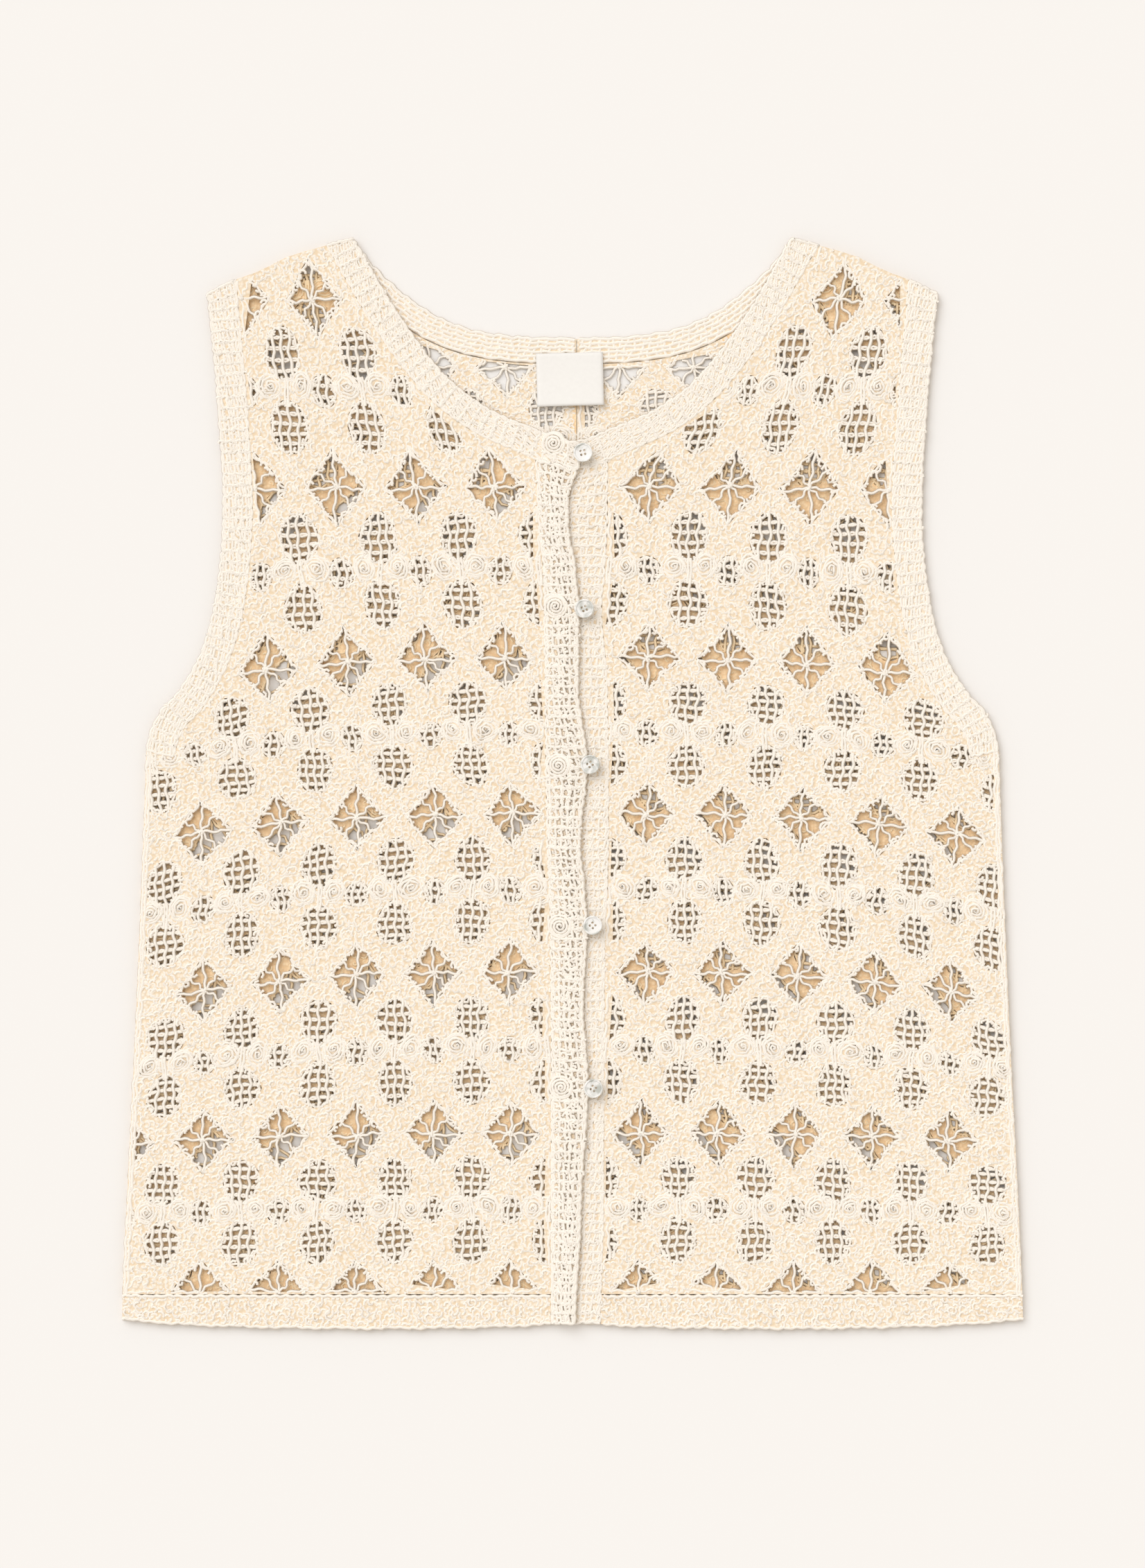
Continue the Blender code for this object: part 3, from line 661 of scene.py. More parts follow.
class Lace:
    """One lace panel: where its stars, ovals and pads fall, and the outline that they stop at."""

    def __init__(self, layer, side):
        self.side = side
        self.front = layer == "front"
        self.rows = np.array(FRONT_LACE if self.front else BACK_LACE)
        self.base = FRONT_BASE if self.front else BACK_BASE
        self.top = self.base + CLOTH
        if self.front:
            middle = front_line(WORDS[side], side, SEAM_GAP)
            self.outline = panel_outline(side, FRONT_NECK, NECK_BAND, middle)
        else:
            heights = np.linspace(FRONT_LINES[0].y, HEM_TOP, 14)
            seam = np.full(len(heights), BACK_SEAM_X + side * SEAM_GAP / 2)
            middle = np.stack([seam, heights], axis=1)
            self.outline = panel_outline(side, BACK_NECK, BACK_NECK_BAND, middle)
            self.see_through_front()

    def place(self, across, down):
        """From the lace's own millimetres, away from the middle and down, to the cloth's x and y."""
        u = np.asarray(across) / CELL_WIDE
        h = np.asarray(down) / CELL_TALL
        index = np.clip(np.floor(h).astype(int), 0, len(self.rows) - 2)
        t = (h - index)[..., None]
        y, centre, first, pitch, droop = np.moveaxis(
            self.rows[index] * (1 - t) + self.rows[index + 1] * t, -1, 0)
        x = centre + self.side * (first + pitch * u)
        y = y - droop * (np.abs(x) / DROOP_REACH) ** 3
        sway = 0.5 * np.sin(0.21 * x + 0.13 * y) + 0.4 * np.sin(0.11 * x - 0.27 * y + 1.3)
        lift = 0.5 * np.sin(0.19 * y - 0.12 * x + 0.7) + 0.4 * np.sin(0.3 * x + 0.09 * y)
        return np.stack([x + sway, y + lift], axis=-1)

    def depth(self, flat):
        """How far inside the panel's outline the lace's own places lie."""
        flat = np.asarray(flat)
        spots = self.place(flat[:, 0], flat[:, 1])
        parts = np.array_split(spots, 1 + len(spots) // 4000)
        return np.concatenate([depth_in(part, self.outline) for part in parts])

    def see_through_front(self):
        """A grid of 1 mm that is true where the back shows: in the open neck and behind the front's gaps."""
        self.corner = np.floor(self.outline.min(axis=0)) - 2
        wide, tall = (np.ptp(self.outline, axis=0) + 6).astype(int)
        spots = np.stack(np.meshgrid(np.arange(wide), np.arange(tall), indexing="ij"), axis=-1) + self.corner
        self.seen = covered(spots.reshape(-1, 2)).reshape(wide, tall) < 1
        front = FRONT_LACES[self.side]
        for x, y in front.cells():
            star = np.abs(spots - front.place(x, y)) / SEEN_STAR
            self.seen |= star.sum(axis=-1) < 1
            for oval in OVALS:
                gap = spots - front.place(x + oval.across, y + oval.down)
                reach = (oval.wide + SEEN_OVAL_MARGIN, oval.tall + SEEN_OVAL_MARGIN)
                self.seen |= ((gap / reach) ** 2).sum(axis=-1) < 1

    def shows(self, flat):
        """Where the lace can be seen: all of the front, and the back where no front lies on it."""
        if self.front:
            return np.full(len(flat), True)
        spots = np.round(self.place(flat[:, 0], flat[:, 1]) - self.corner).astype(int)
        across, down = np.clip(spots, 0, np.array(self.seen.shape) - 1).T
        return self.seen[across, down]

    def cells(self):
        """The middle of every star, also just outside the panel, in the lace's own millimetres."""
        for row in range(-1, len(self.rows) + 1):
            for column in range(-1, 6):
                yield column * CELL_WIDE, row * CELL_TALL

    def holes(self, margin):
        """Outlines of the open diamonds and ovals, grown by a margin, where they fall on the panel."""
        star = diamond_loop(STAR_WIDE + margin, STAR_TALL + margin, 4)
        loops = [star] + [oval_loop(oval, margin) for oval in OVALS]
        return [self.place(x + loop[:, 0], y + loop[:, 1]) for x, y in self.cells() for loop in loops]


def covered(spots):
    """1 where the fronts cover the back, 0 in the open neck, soft between; on the back's yarn it is the share of
    painted shade.
    """
    line = spaced(spline(FRONT_NECK), STATION_PITCH / 2)
    edge = np.interp(np.abs(spots[:, 0]), line[::-1, 0], line[::-1, 1])
    above_all = 400.0
    edge = np.where(np.abs(spots[:, 0]) > SHOULDER[0].x, above_all, edge)
    return np.clip((edge - spots[:, 1] + 2.0) / NECK_SHADE, 0, 1)


FRONT_LACES = {side: Lace("front", side) for side in (LEFT, RIGHT)}


def diamond_loop(wide, tall, steps):
    corners = np.array([(wide, 0), (0, tall), (-wide, 0), (0, -tall), (wide, 0)], float)
    sides = [a + (b - a) * t for a, b in zip(corners, corners[1:]) for t in np.arange(steps) / steps]
    return np.array(sides)


def oval_loop(oval, margin, count=14):
    turn = np.linspace(0, 2 * np.pi, count, endpoint=False)
    return np.stack([
        oval.across + (oval.wide + margin) * np.cos(turn),
        oval.down + (oval.tall + margin) * np.sin(turn),
    ], axis=1)


def hole_distance(points):
    """How far places in the lace's own millimetres lie from its openings; below zero inside one."""
    x = (points[:, 0] + CELL_WIDE / 2) % CELL_WIDE - CELL_WIDE / 2
    y = points[:, 1] % CELL_TALL
    best = np.full(len(points), 1e9)
    for down in (0.0, CELL_TALL):
        level_at = np.abs(x) / STAR_WIDE + np.abs(y - down) / STAR_TALL - 1
        best = np.minimum(best, level_at / math.hypot(1 / STAR_WIDE, 1 / STAR_TALL))
    for oval in OVALS:
        for turn in (-1, 1):
            dx, dy = x - turn * oval.across, y - oval.down
            ratio = np.hypot(dx / oval.wide, dy / oval.tall)
            best = np.minimum(best, (ratio - 1) * np.hypot(dx, dy) / np.maximum(ratio, 1e-6))
    twins = np.abs(np.abs(x) - CELL_WIDE / 2) - 1.4
    return np.where((y > TWIN_TOP) & (y < TWIN_END - 0.5), np.minimum(best, twins), best)


def spread_curls(pads, across, down, room, draw, spacing=CURL_SPACING):
    """The middles of the short curls that fill the cloth round the rosettes, no two close together.

    They are picked at random from a grid of places across and down, and room is how far each is from an opening.
    """
    pitch = across[1] - across[0]
    taken = room < -CURL_OVERHANG

    def block(spot, reach):
        i = max(0, int((spot[0] - reach - across[0]) / pitch))
        j = max(0, int((spot[1] - reach - down[0]) / pitch))
        span = int(2 * reach / pitch) + 3
        dx, dy = across[i:i + span, None] - spot[0], down[None, j:j + span] - spot[1]
        taken[i:i + span, j:j + span] |= dx**2 + dy**2 < reach**2

    for pad in pads:
        block(pad, pad[2] - ROSETTE_MERGE)
    order = np.argwhere(~taken).tolist()
    draw.shuffle(order)
    curls = []
    for i, j in order:
        if not taken[i, j]:
            curls.append((across[i], down[j]))
            block(curls[-1], spacing)
    return curls


def coil(size, draw, step, pitch, shake=0.5):
    """Yarn coiled in a round pad that is domed a little; its last turn is a full ring."""
    inner, outer, dome, last_turn = 0.4, size - 0.35, 0.4, 0.85
    turns = (outer - inner) / pitch + last_turn
    angles, angle = [], 0.0
    while angle < 2 * np.pi * turns:
        angles.append(angle)
        radius = min(outer, inner + pitch * angle / (2 * np.pi))
        angle += min(math.radians(56), step / radius)
    angles = np.array(angles)
    radius = np.minimum(outer, inner + pitch * angles / (2 * np.pi))
    way, start = draw.choice((-1, 1)), draw.uniform(0, 2 * np.pi)
    x, y = radius * np.cos(start + way * angles), radius * np.sin(start + way * angles)
    return shaken(np.stack([x, y, dome - dome * (radius / outer) ** 2], axis=1), shake, 0.4 * shake)


def curl(draw, low, high):
    """A short bow of yarn round its own middle, turned any way, its radius between low and high."""
    size, span, start = draw.uniform(low, high), draw.uniform(1.9, 3.6), draw.uniform(0, 2 * np.pi)
    turn = start + np.linspace(-0.5, 0.5, 4) * span
    middle = np.array([np.cos(start), np.sin(start)]) * size * 0.6
    bow = np.stack([size * np.cos(turn), size * np.sin(turn)], axis=1) - middle
    return np.column_stack([bow, 0.25 * np.cos(np.linspace(-1.4, 1.4, 4)) - 0.2])


def pad_paths(pads, draw, step, pitch):
    """The coil of every pad, each stretched and tilted a little its own way."""
    paths = []
    for x, y, size, _ in pads:
        path = coil(size, draw, step, pitch)
        turn, stretch = draw.uniform(0, np.pi), draw.uniform(0.9, 1.12)
        path[:, 2] += draw.uniform(-0.06, 0.06) * path[:, 0] + draw.uniform(-0.06, 0.06) * path[:, 1]
        cos, sin = math.cos(turn), math.sin(turn)
        frame_turn = np.array([[cos, -sin], [sin, cos]])
        squash = frame_turn @ np.diag([stretch, 1 / stretch]) @ frame_turn.T
        path[:, :2] = path[:, :2] @ squash.T + (x, y)
        paths.append(path)
    return paths


def pad_strands(pads, curls, draw, step, pitch, keep, to_cloth):
    """The yarn of pads and curls, cut where keep says no and where a pad with a higher rank lies over it."""
    paths = pad_paths(pads, draw, step, pitch)
    paths += [curl(draw, 1.1, 2.2) + (x, y, 0.25 * draw.uniform(-1, 1)) for x, y in curls]
    ends = np.cumsum([len(path) for path in paths])
    whole = np.concatenate(paths)
    kept = keep(whole[:, :2])
    spots, top = to_cloth(whole[:, :2])
    whole = np.column_stack([spots, top + whole[:, 2] - YARN - 0.1, top])
    table = np.reshape(pads, (-1, 4))
    strands = []
    for k, path in enumerate(paths):
        span = slice(ends[k] - len(path), ends[k])
        shown = kept[span]
        if k < len(pads):
            pad = table[k]
            near = np.hypot(table[:, 0] - pad[0], table[:, 1] - pad[1]) < table[:, 2] + pad[2]
            for other in table[near & (table[:, 3] > pad[3])]:
                gap = (path[:, 0] - other[0]) ** 2 + (path[:, 1] - other[1]) ** 2
                shown = shown & (gap > (other[2] - 0.3) ** 2)
        strands += [(run[:, :3], YARN, run[:, 3]) for run in clipped(whole[span], shown)]
    return strands


def lace_pads(lace):
    """The dense lace of a panel, all round its openings: coiled rosettes, and curls between them."""
    draw = random.Random(PAD_SEED + 2 * lace.front + (lace.side > 0))
    pads = []
    for x, y in lace.cells():
        pads += [(x + spot.x, y + spot.y, ROSETTE_SIZE, draw.random()) for spot in ROSETTES]
    pads = [pad for pad, ok in zip(pads, lace.depth([p[:2] for p in pads]) > -ROSETTE_SIZE + 0.3) if ok]
    across = np.arange(-CELL_WIDE * 1.4, CELL_WIDE * 5.6, CURL_GRID)
    down = np.arange(-CELL_TALL, CELL_TALL * (len(lace.rows) + 0.3), CURL_GRID)
    spots = np.stack(np.meshgrid(across, down, indexing="ij"), axis=-1).reshape(-1, 2)
    on_cloth = inside(lace.place(spots[:, 0], spots[:, 1]), lace.outline)
    room = np.where(on_cloth, hole_distance(spots), -9).reshape(len(across), len(down))
    curls = spread_curls(pads, across, down, room, draw)

    def keep(flat):
        return (hole_distance(flat) > -YARN_OVERHANG) & (lace.depth(flat) > SEAM_GAP) & lace.shows(flat)

    def to_cloth(flat):
        return lace.place(flat[:, 0], flat[:, 1]), np.full(len(flat), lace.top)

    if lace.front:
        return pad_strands(pads, curls, draw, PAD_STEP, YARN_PITCH, keep, to_cloth)
    in_neck = covered(lace.place(*np.array(pads)[:, :2].T)) < 1
    seen_well = [pad for pad, fine in zip(pads, in_neck) if fine]
    under_front = [pad for pad, fine in zip(pads, in_neck) if not fine]
    curls = [spot for k, spot in enumerate(curls) if k % 3 == 0 or covered(lace.place(*spot)[None])[0] < 1]
    return (pad_strands(seen_well, curls, draw, PAD_STEP, YARN_PITCH, keep, to_cloth)
            + pad_strands(under_front, [], draw, COVERED_PAD_STEP, COVERED_PITCH, keep, to_cloth))


def wavy(a, b, step, wave, period, draw, rise=0.0):
    """A strand from a to b in the plane that sways to both sides, and its height above its ends."""
    a, b = np.asarray(a, float), np.asarray(b, float)
    length = np.linalg.norm(b - a)
    count = max(3, round(length / step))
    t = np.linspace(0, 1, count + 1)
    across = np.array([-(b - a)[1], (b - a)[0]]) / length
    ease = np.sin(np.pi * t) ** 0.5
    sway = wave * ease * np.sin(2 * np.pi * length * t / period + draw.uniform(0, 6.3))
    return a + (b - a) * t[:, None] + across * sway[:, None], rise * np.sin(np.pi * t)


def star_strands(draw, step):
    """The rays of one star, the knot where they meet and the scalloped yarn round it."""
    strands = []
    for turn in range(8):
        straight = turn % 2 == 0
        angle = turn * np.pi / 4 + draw.uniform(-0.09, 0.09)
        way = np.array([np.cos(angle), np.sin(angle)])
        edge = 1 / (abs(way[0]) / STAR_WIDE + abs(way[1]) / STAR_TALL)
        reach = edge * (1.05 if straight else 1.14)
        wave, period = (0.5, 8.0) if straight else (0.9, 6.5)
        path, rise = wavy(way * 0.2, way * reach, 0.8 * step, wave, period * draw.uniform(0.85, 1.2), draw, 0.3)
        strands.append((path, -1.15 + rise, RAY_YARN if straight else SLANT_RAY_YARN))
    for _ in range(2):
        path = curl(draw, 1.0, 1.6)
        strands.append((path[:, :2], path[:, 2] - 0.4, YARN))
    corners = np.array([(STAR_WIDE, 0), (0, STAR_TALL), (-STAR_WIDE, 0), (0, -STAR_TALL), (STAR_WIDE, 0)])
    rim = []
    for a, b in zip(corners, corners[1:]):
        length = np.linalg.norm(b - a)
        t = np.linspace(0, 1, round(length / step), endpoint=False)
        inward = -(a + b) / np.linalg.norm(a + b)
        scallop = 1.5 * np.abs(np.sin(3 * np.pi * t)) - 1.0
        rim.append(a + (b - a) * t[:, None] + inward * scallop[:, None])
    rim = np.concatenate(rim + [rim[0][:1]])
    strands.append((rim, np.full(len(rim), -1.1), YARN))
    return strands


def oval_strands(oval, draw, step):
    """The net in one oval: upright strands in front, looped ones behind, and the yarn round it."""
    strands = []
    middle = np.array([oval.across, oval.down])
    turn = np.linspace(0, 2 * np.pi, round(2 * np.pi * (oval.wide + oval.tall) / 2 / step))
    ripple = 1 + 0.05 * np.sin(7 * turn + draw.uniform(0, 6.3))
    rim = middle + np.stack([oval.wide * np.cos(turn), oval.tall * np.sin(turn)], axis=1) * ripple[:, None]
    strands.append((rim, np.full(len(rim), -1.35), YARN))
    column_pitch, row_pitch = 2 * oval.wide / oval.columns, 2 * oval.tall / oval.rows
    for i in range(1, oval.columns):
        x = -oval.wide + i * column_pitch + draw.uniform(-0.2, 0.2)
        half = oval.tall * math.sqrt(1 - (x / oval.wide) ** 2) + 0.8
        path, rise = wavy(middle + (x, -half), middle + (x, half), step, 0.6, 2 * row_pitch, draw, 0.2)
        strands.append((path, -0.85 + rise, UPRIGHT_YARN))
    for j in range(1, oval.rows):
        y = -oval.tall + j * row_pitch + draw.uniform(-0.25, 0.25)
        half = oval.wide * math.sqrt(max(0.1, 1 - (y / oval.tall) ** 2)) + 0.6
        t = np.linspace(-half, half, max(4, round(2 * half / step)))
        wave = np.sin(np.pi * (t + oval.wide) / column_pitch)
        for bow in (-0.6, 0.6):
            path = middle + np.stack([t, y + bow * wave], axis=1)
            strands.append((path, np.full(len(path), -1.5), FINE_YARN))
    return strands


def net_strands(lace, step):
    """The stars, the nets in the ovals and the twin strands between them, all over a panel."""
    draw = random.Random(NET_SEED + 2 * lace.front + (lace.side > 0))
    low, high = lace.outline.min(axis=0) - 30, lace.outline.max(axis=0) + 30
    strands = []
    for x, y in lace.cells():
        middle = lace.place(x, y + CELL_TALL / 2)
        if (middle < low - 30).any() or (middle > high + 30).any():
            continue
        pieces = star_strands(draw, step)
        for oval in OVALS:
            pieces += oval_strands(oval, draw, step)
        for x_twin in (CELL_WIDE / 2 - TWIN_APART, CELL_WIDE / 2 + TWIN_APART):
            path, rise = wavy((x_twin, TWIN_TOP), (x_twin, TWIN_END), step, 0.15, 7.0, draw)
            pieces.append((path, rise - 0.6, 0.78))
        for flat, z, thick in pieces:
            spot = lace.place(x + flat[:, 0], y + flat[:, 1])
            path = np.column_stack([shaken(spot, 0.15, 0), lace.top + z, np.full(len(spot), lace.top)])
            shown = (depth_in(spot, lace.outline) > 0.2) & lace.shows(flat + (x, y))
            for run in clipped(path, shown):
                # The cloth's top is given 0.35 mm lower here, so the net takes less painted shade in its hollows.
                strands.append((run[:, :3], thick, run[:, 3] - 0.35))
    return strands


def edge_cords(lace, step):
    """Two cords down the panel's free side."""
    strands = []
    side = side_edge(lace.side)
    for inset, z in ((0.9, -0.9), (2.4, -0.8)):
        curve = spaced(offset(side, -inset * lace.side), step)
        wave = 0.35 * np.sin(np.arange(len(curve)) * 1.3)
        path = np.column_stack([curve[:, 0] + wave, curve[:, 1], np.full(len(curve), lace.top + z)])
        strands.append((shaken(path, 0.35, 0.15), EDGE_YARN, lace.top))
    return strands


def pulled_in(loop, outline, margin):
    """A hole, or the part of it that lies well inside the outline."""
    keep = depth_in(loop, outline) > margin
    return loop[keep] if keep.sum() > 5 else None


def lace_panel(layer, side):
    """The ground of one lace panel with its openings, and the yarn on top."""
    lace = FRONT_LACES[side] if layer == "front" else Lace(layer, side)
    word = WORDS[side]
    holes = [pulled_in(hole, lace.outline, 0.8) for hole in lace.holes(0.9)]
    holes = [hole for hole in holes if hole is not None]
    cloth = plate(f"{layer}_{word}_ground", [lace.outline, *holes], level(lace.base + GROUND_LOW),
                  level(lace.base + GROUND_TOP))
    finish(cloth, GROUND)
    # On the back, the upward faces that the fronts cover take the second material, a tan painted shade.
    cloth.data.materials.append(PAINTED_SHADE_GROUND)
    middles = np.array([poly.center[:2] for poly in cloth.data.polygons]) / MM
    upward = np.array([poly.normal.z > 0.5 for poly in cloth.data.polygons])
    under_front = upward & (covered(middles) > 0.5) & (layer == "back")
    cloth.data.polygons.foreach_set("material_index", under_front.astype(np.int32))
    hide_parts(f"{layer}_panel_{word}")
    pads = lace_pads(lace)
    net = net_strands(lace, NET_STEP if lace.front else COVERED_NET_STEP) + edge_cords(lace, 2.5)
    # The back's yarn takes painted shade in tan where the fronts cover it.
    shade = None if lace.front else covered
    pieces = [
        yarn_piece(f"{layer}_{word}_pads", pads, shade),
        yarn_piece(f"{layer}_{word}_net", net, shade),
    ]
    area = sum(poly.area for poly in cloth.data.polygons if poly.normal.z > 0.9)
    size = np.ptp(lace.outline, axis=0) * MM
    return cloth, size, area, pieces


# Bands

class Band:
    """A band between two edges with matching points, its rows running from edge to edge."""

    def __init__(self, outer, inner, width, lift):
        self.outer, self.inner, self.width, self.lift = np.asarray(outer), np.asarray(inner), width, lift
        middle = (self.outer + self.inner) / 2
        self.lengths = lengths_along(middle)
        self.length = self.lengths[-1]

    def at(self, along, across):
        """Places on the band: along it, and across it from its outer edge, in millimetres."""
        along, share = np.clip(along, 0, self.length), np.asarray(across) / self.width
        spots = []
        for k in (0, 1):
            outer = np.interp(along, self.lengths, self.outer[:, k])
            inner = np.interp(along, self.lengths, self.inner[:, k])
            spots.append(outer + (inner - outer) * share)
        spots = np.stack(spots, axis=-1)
        return spots, self.lift(spots, share)

    def path(self, along, across, z, thick):
        """A strand over the band, z from the cloth's top."""
        spots, base = self.at(along, across)
        top = base + CLOTH
        return shaken(np.column_stack([spots, top + z]), 0.24, 0.1), thick, top


def band_rows(band, pitch, posts, strands_each, draw, lean, clear=()):
    """Rows of crochet: a cord across each, upright stitches between two, and a scallop at each end."""
    step = 1.5
    found = []
    count = max(2, round(band.length / pitch))
    pitch = band.length / count
    phases = [draw.uniform(0, 6.3) for _ in range(count + 1)]

    def free(along, across):
        spots, _ = band.at(np.array([along]), np.array([across]))
        return all(math.hypot(spots[0, 0] - c.x, spots[0, 1] - c.y) > c.size for c in clear)

    for k in range(count + 1):
        across = np.linspace(0.4, band.width - 0.4, max(5, round(band.width / step)))
        sway = 0.4 * np.sin(across * 1.15 + phases[k]) + 0.35 * np.sin(across * 2.6 + 2 * phases[k])
        along = k * pitch + sway
        z = -0.72 + 0.18 * np.sin(across * 2.1 + phases[k])
        path, thick, ground = band.path(along, across, z, ROW_YARN)
        whole = np.column_stack([path, ground])
        kept = np.array([free(a, w) for a, w in zip(along, across)])
        found += [(run[:, :3], thick, run[:, 3]) for run in clipped(whole, kept)]
    for k in range(count):
        for j in range(posts):
            room = band.width / posts
            at = (j + 0.5) * room + draw.uniform(-0.15, 0.15) * room
            if not free((k + 0.5) * pitch, at):
                continue
            tip = lean * draw.uniform(0.4, 1.5)
            for s in range(strands_each):
                beside = (s - (strands_each - 1) / 2) * (room - 0.55) / strands_each
                t = np.linspace(0.04, 0.96, 4)
                along = (k + t) * pitch + 0.3 * draw.uniform(-1, 1)
                across = at + beside + tip * (t - 0.5) * 2 + 0.25 * np.sin(np.pi * t) * draw.uniform(-1, 1)
                z = -1.15 + 0.4 * np.sin(np.pi * t) + draw.uniform(-0.15, 0.15)
                thick = min(UPRIGHT_YARN, (room - 0.35) / strands_each / 2) * draw.uniform(0.9, 1.08)
                found.append(band.path(along, across, z, thick))
            bow = curl(draw, 0.9, 1.6)
            spot = k * pitch + draw.uniform(-0.5, 0.5), at + draw.uniform(-0.5, 0.5) * room
            found.append(band.path(bow[:, 0] + spot[0], bow[:, 1] + spot[1], bow[:, 2] - 0.45, 0.75))
        for edge, way in ((0.0, -1), (band.width, 1)):
            t = np.linspace(-0.1, 1.1, 6)
            bulge = 0.75 * np.sin(np.pi * np.clip(t, 0, 1)) + 0.12 * draw.uniform(-1, 1)
            across = edge + way * (bulge - 0.75)
            found.append(band.path((k + t) * pitch, across, -0.95 + 0.15 * np.sin(np.pi * t), 0.85))
    return found


def band_curls(band, draw):
    """Short curls all over a band, under its rows."""
    along = np.arange(0.8, band.length, BAND_CURL_GRID)
    across = np.arange(0.8, band.width - 0.7, BAND_CURL_GRID)
    room = np.zeros((len(along), len(across)))
    found = []
    for x, y in spread_curls([], along, across, room, draw):
        bow = curl(draw, 1.1, 2.0)
        sideways = np.clip(y + bow[:, 1], 0.4, band.width - 0.4)
        found.append(band.path(x + bow[:, 0], sideways, bow[:, 2] - 0.95, YARN))
    return found


def band_cords(band, offsets, draw, step):
    """Cords that run along the band, as in rows worked round a neck."""
    found = []
    wave = 0.35
    for across in offsets:
        along = np.arange(0, band.length, step)
        phase = draw.uniform(0, 6.3)
        sway = wave * np.sin(along * 0.55 + phase) + 0.5 * wave * np.sin(along * 1.3 + 2 * phase)
        z = -0.85 + 0.15 * np.sin(along * 0.8 + phase)
        found.append(band.path(along, across + sway, z, CORD_YARN))
    return found


def band_ties(band, rows, spacing, draw):
    """Short stitches that tie two cords, with slits left between them."""
    found = []
    for low, high in zip(rows, rows[1:]):
        along = draw.uniform(0, spacing)
        while along < band.length - 1:
            t = np.linspace(0, 1, 4)
            slanted = along + draw.uniform(-1, 1) * t
            found.append(band.path(slanted, low + (high - low) * t, -1.0 + 0 * t, 0.95))
            along += spacing * draw.uniform(0.7, 1.3)
    return found


def band_ground(name, band):
    """The thin ground under a band's stitches."""
    along = np.linspace(0, band.length, max(4, round(band.length / 6)))
    points, faces = [], []
    outer, inner, low, high = 0.6, band.width - 0.3, 0.25, 1.5
    for a in along:
        for w, z in ((outer, low), (inner, low), (inner, high), (outer, high)):
            spot, base = band.at(np.array([a]), np.array([w]))
            points.append((*spot[0], base[0] + z))
    for k in range(len(along) - 1):
        for i in range(4):
            a, b = 4 * k + i, 4 * k + (i + 1) % 4
            faces.append([a, b, b + 4, a + 4])
    faces += [[3, 2, 1, 0], [4 * len(along) - 4 + i for i in range(4)]]
    obj = add_mesh(name, points, faces)
    turned_out(obj)
    return obj


def turned_out(obj):
    """Faces that point outward, whichever way the band was drawn."""
    volume = 0.0
    mesh = obj.data
    mesh.calc_loop_triangles()
    for tri in mesh.loop_triangles:
        a, b, c = (mesh.vertices[i].co for i in tri.vertices)
        volume += a.dot(b.cross(c))
    if volume < 0:
        mesh.flip_normals()


def flat_at(z):
    return lambda spots, share: np.full(len(spots), z)


def left_band_lift(spots, share):
    """The left band rises across its width, up to where it lies on the right one."""
    start = UNDERLAP + 0.5
    room = 1 - start / PLACKET
    return FRONT_BASE + LAP_RISE * np.clip(share / room, 0, 1)


def neck_lift(spots, share):
    """The left end of the neck band rises the same way, along its length."""
    start = NECK_OPENING_X - UNDERLAP - 0.5
    return FRONT_BASE + LAP_RISE * np.clip(1 - (start - spots[:, 0]) / LAP_SLOPE, 0, 1)


def row_level(side, x, y):
    """Height of a band row at x: the topmost rows follow the neck band, the lower ones run level."""
    top = height_on(neck_edge(FRONT_NECK, side, NECK_BAND + 2 * SEAM_GAP), x)
    share = np.clip(1 - (FRONT_LINES[0].y - y) / 40.0, 0, 1)
    return y + (top - FRONT_LINES[0].y) * share


Rosette = namedtuple("Rosette", "x y size")
BESIDE_BUTTONS = (
    Rosette(-10.1, 181.3, 5.6),
    Rosette(-9.0, 94.5, 5.6),
    Rosette(-7.5, 9.8, 5.6),
    Rosette(-6.7, -75.7, 5.6),
    Rosette(-6.0, -161.5, 5.6),
)


def neck_band(side, table, width, end_x, pitch):
    """The outer and inner edge of a neck band that ends at end_x, its last stations at least half a pitch off."""
    outer = neck_edge(table, side, 0)
    inner = neck_edge(table, side, width)
    keep = np.minimum(side * (outer[:, 0] - end_x), side * (inner[:, 0] - end_x)) > pitch / 2
    ends = [np.array([[end_x, height_on(curve, end_x)]]) for curve in (outer, inner)]
    return np.concatenate([outer[keep], ends[0]]), np.concatenate([inner[keep], ends[1]])


def hem_edges(side, layer):
    """The lower and upper edge of a hem band, with as many points each."""
    if layer == "back":
        end = BACK_SEAM_X + side * SEAM_GAP / 2
    else:
        end = float(front_x(WORDS[side], -288.0)) + side * SEAM_GAP
    curve = mirrored(spline(HEM), side)
    x = np.linspace(curve[0, 0], end, 26)
    outer = np.stack([x, height_on(curve, x)], axis=1)
    top = np.stack([np.linspace(side * SIDE[-1].x, end, 26), np.full(26, HEM_TOP)], axis=1)
    return outer, top


def front_placket(side, draw):
    """The button band of one front."""
    heights = np.arange(FRONT_LINES[0].y, FRONT_LINES[-1].y - 1, -2.7)
    if side == LEFT:
        outer_x, inner_x = front_x("left", heights), front_x("opening", heights)
    else:
        outer_x, inner_x = front_x("right", heights), front_x("opening", heights) - UNDERLAP
    outer = np.stack([outer_x, row_level(side, outer_x, heights)], axis=1)
    inner = np.stack([inner_x, row_level(side, inner_x, heights)], axis=1)
    band = Band(outer, inner, PLACKET, left_band_lift if side == LEFT else flat_at(FRONT_BASE))
    clear = BESIDE_BUTTONS[1:] if side == LEFT else ()
    return band, band_rows(band, 5.4, 6, 1, draw, lean=0.5, clear=clear)


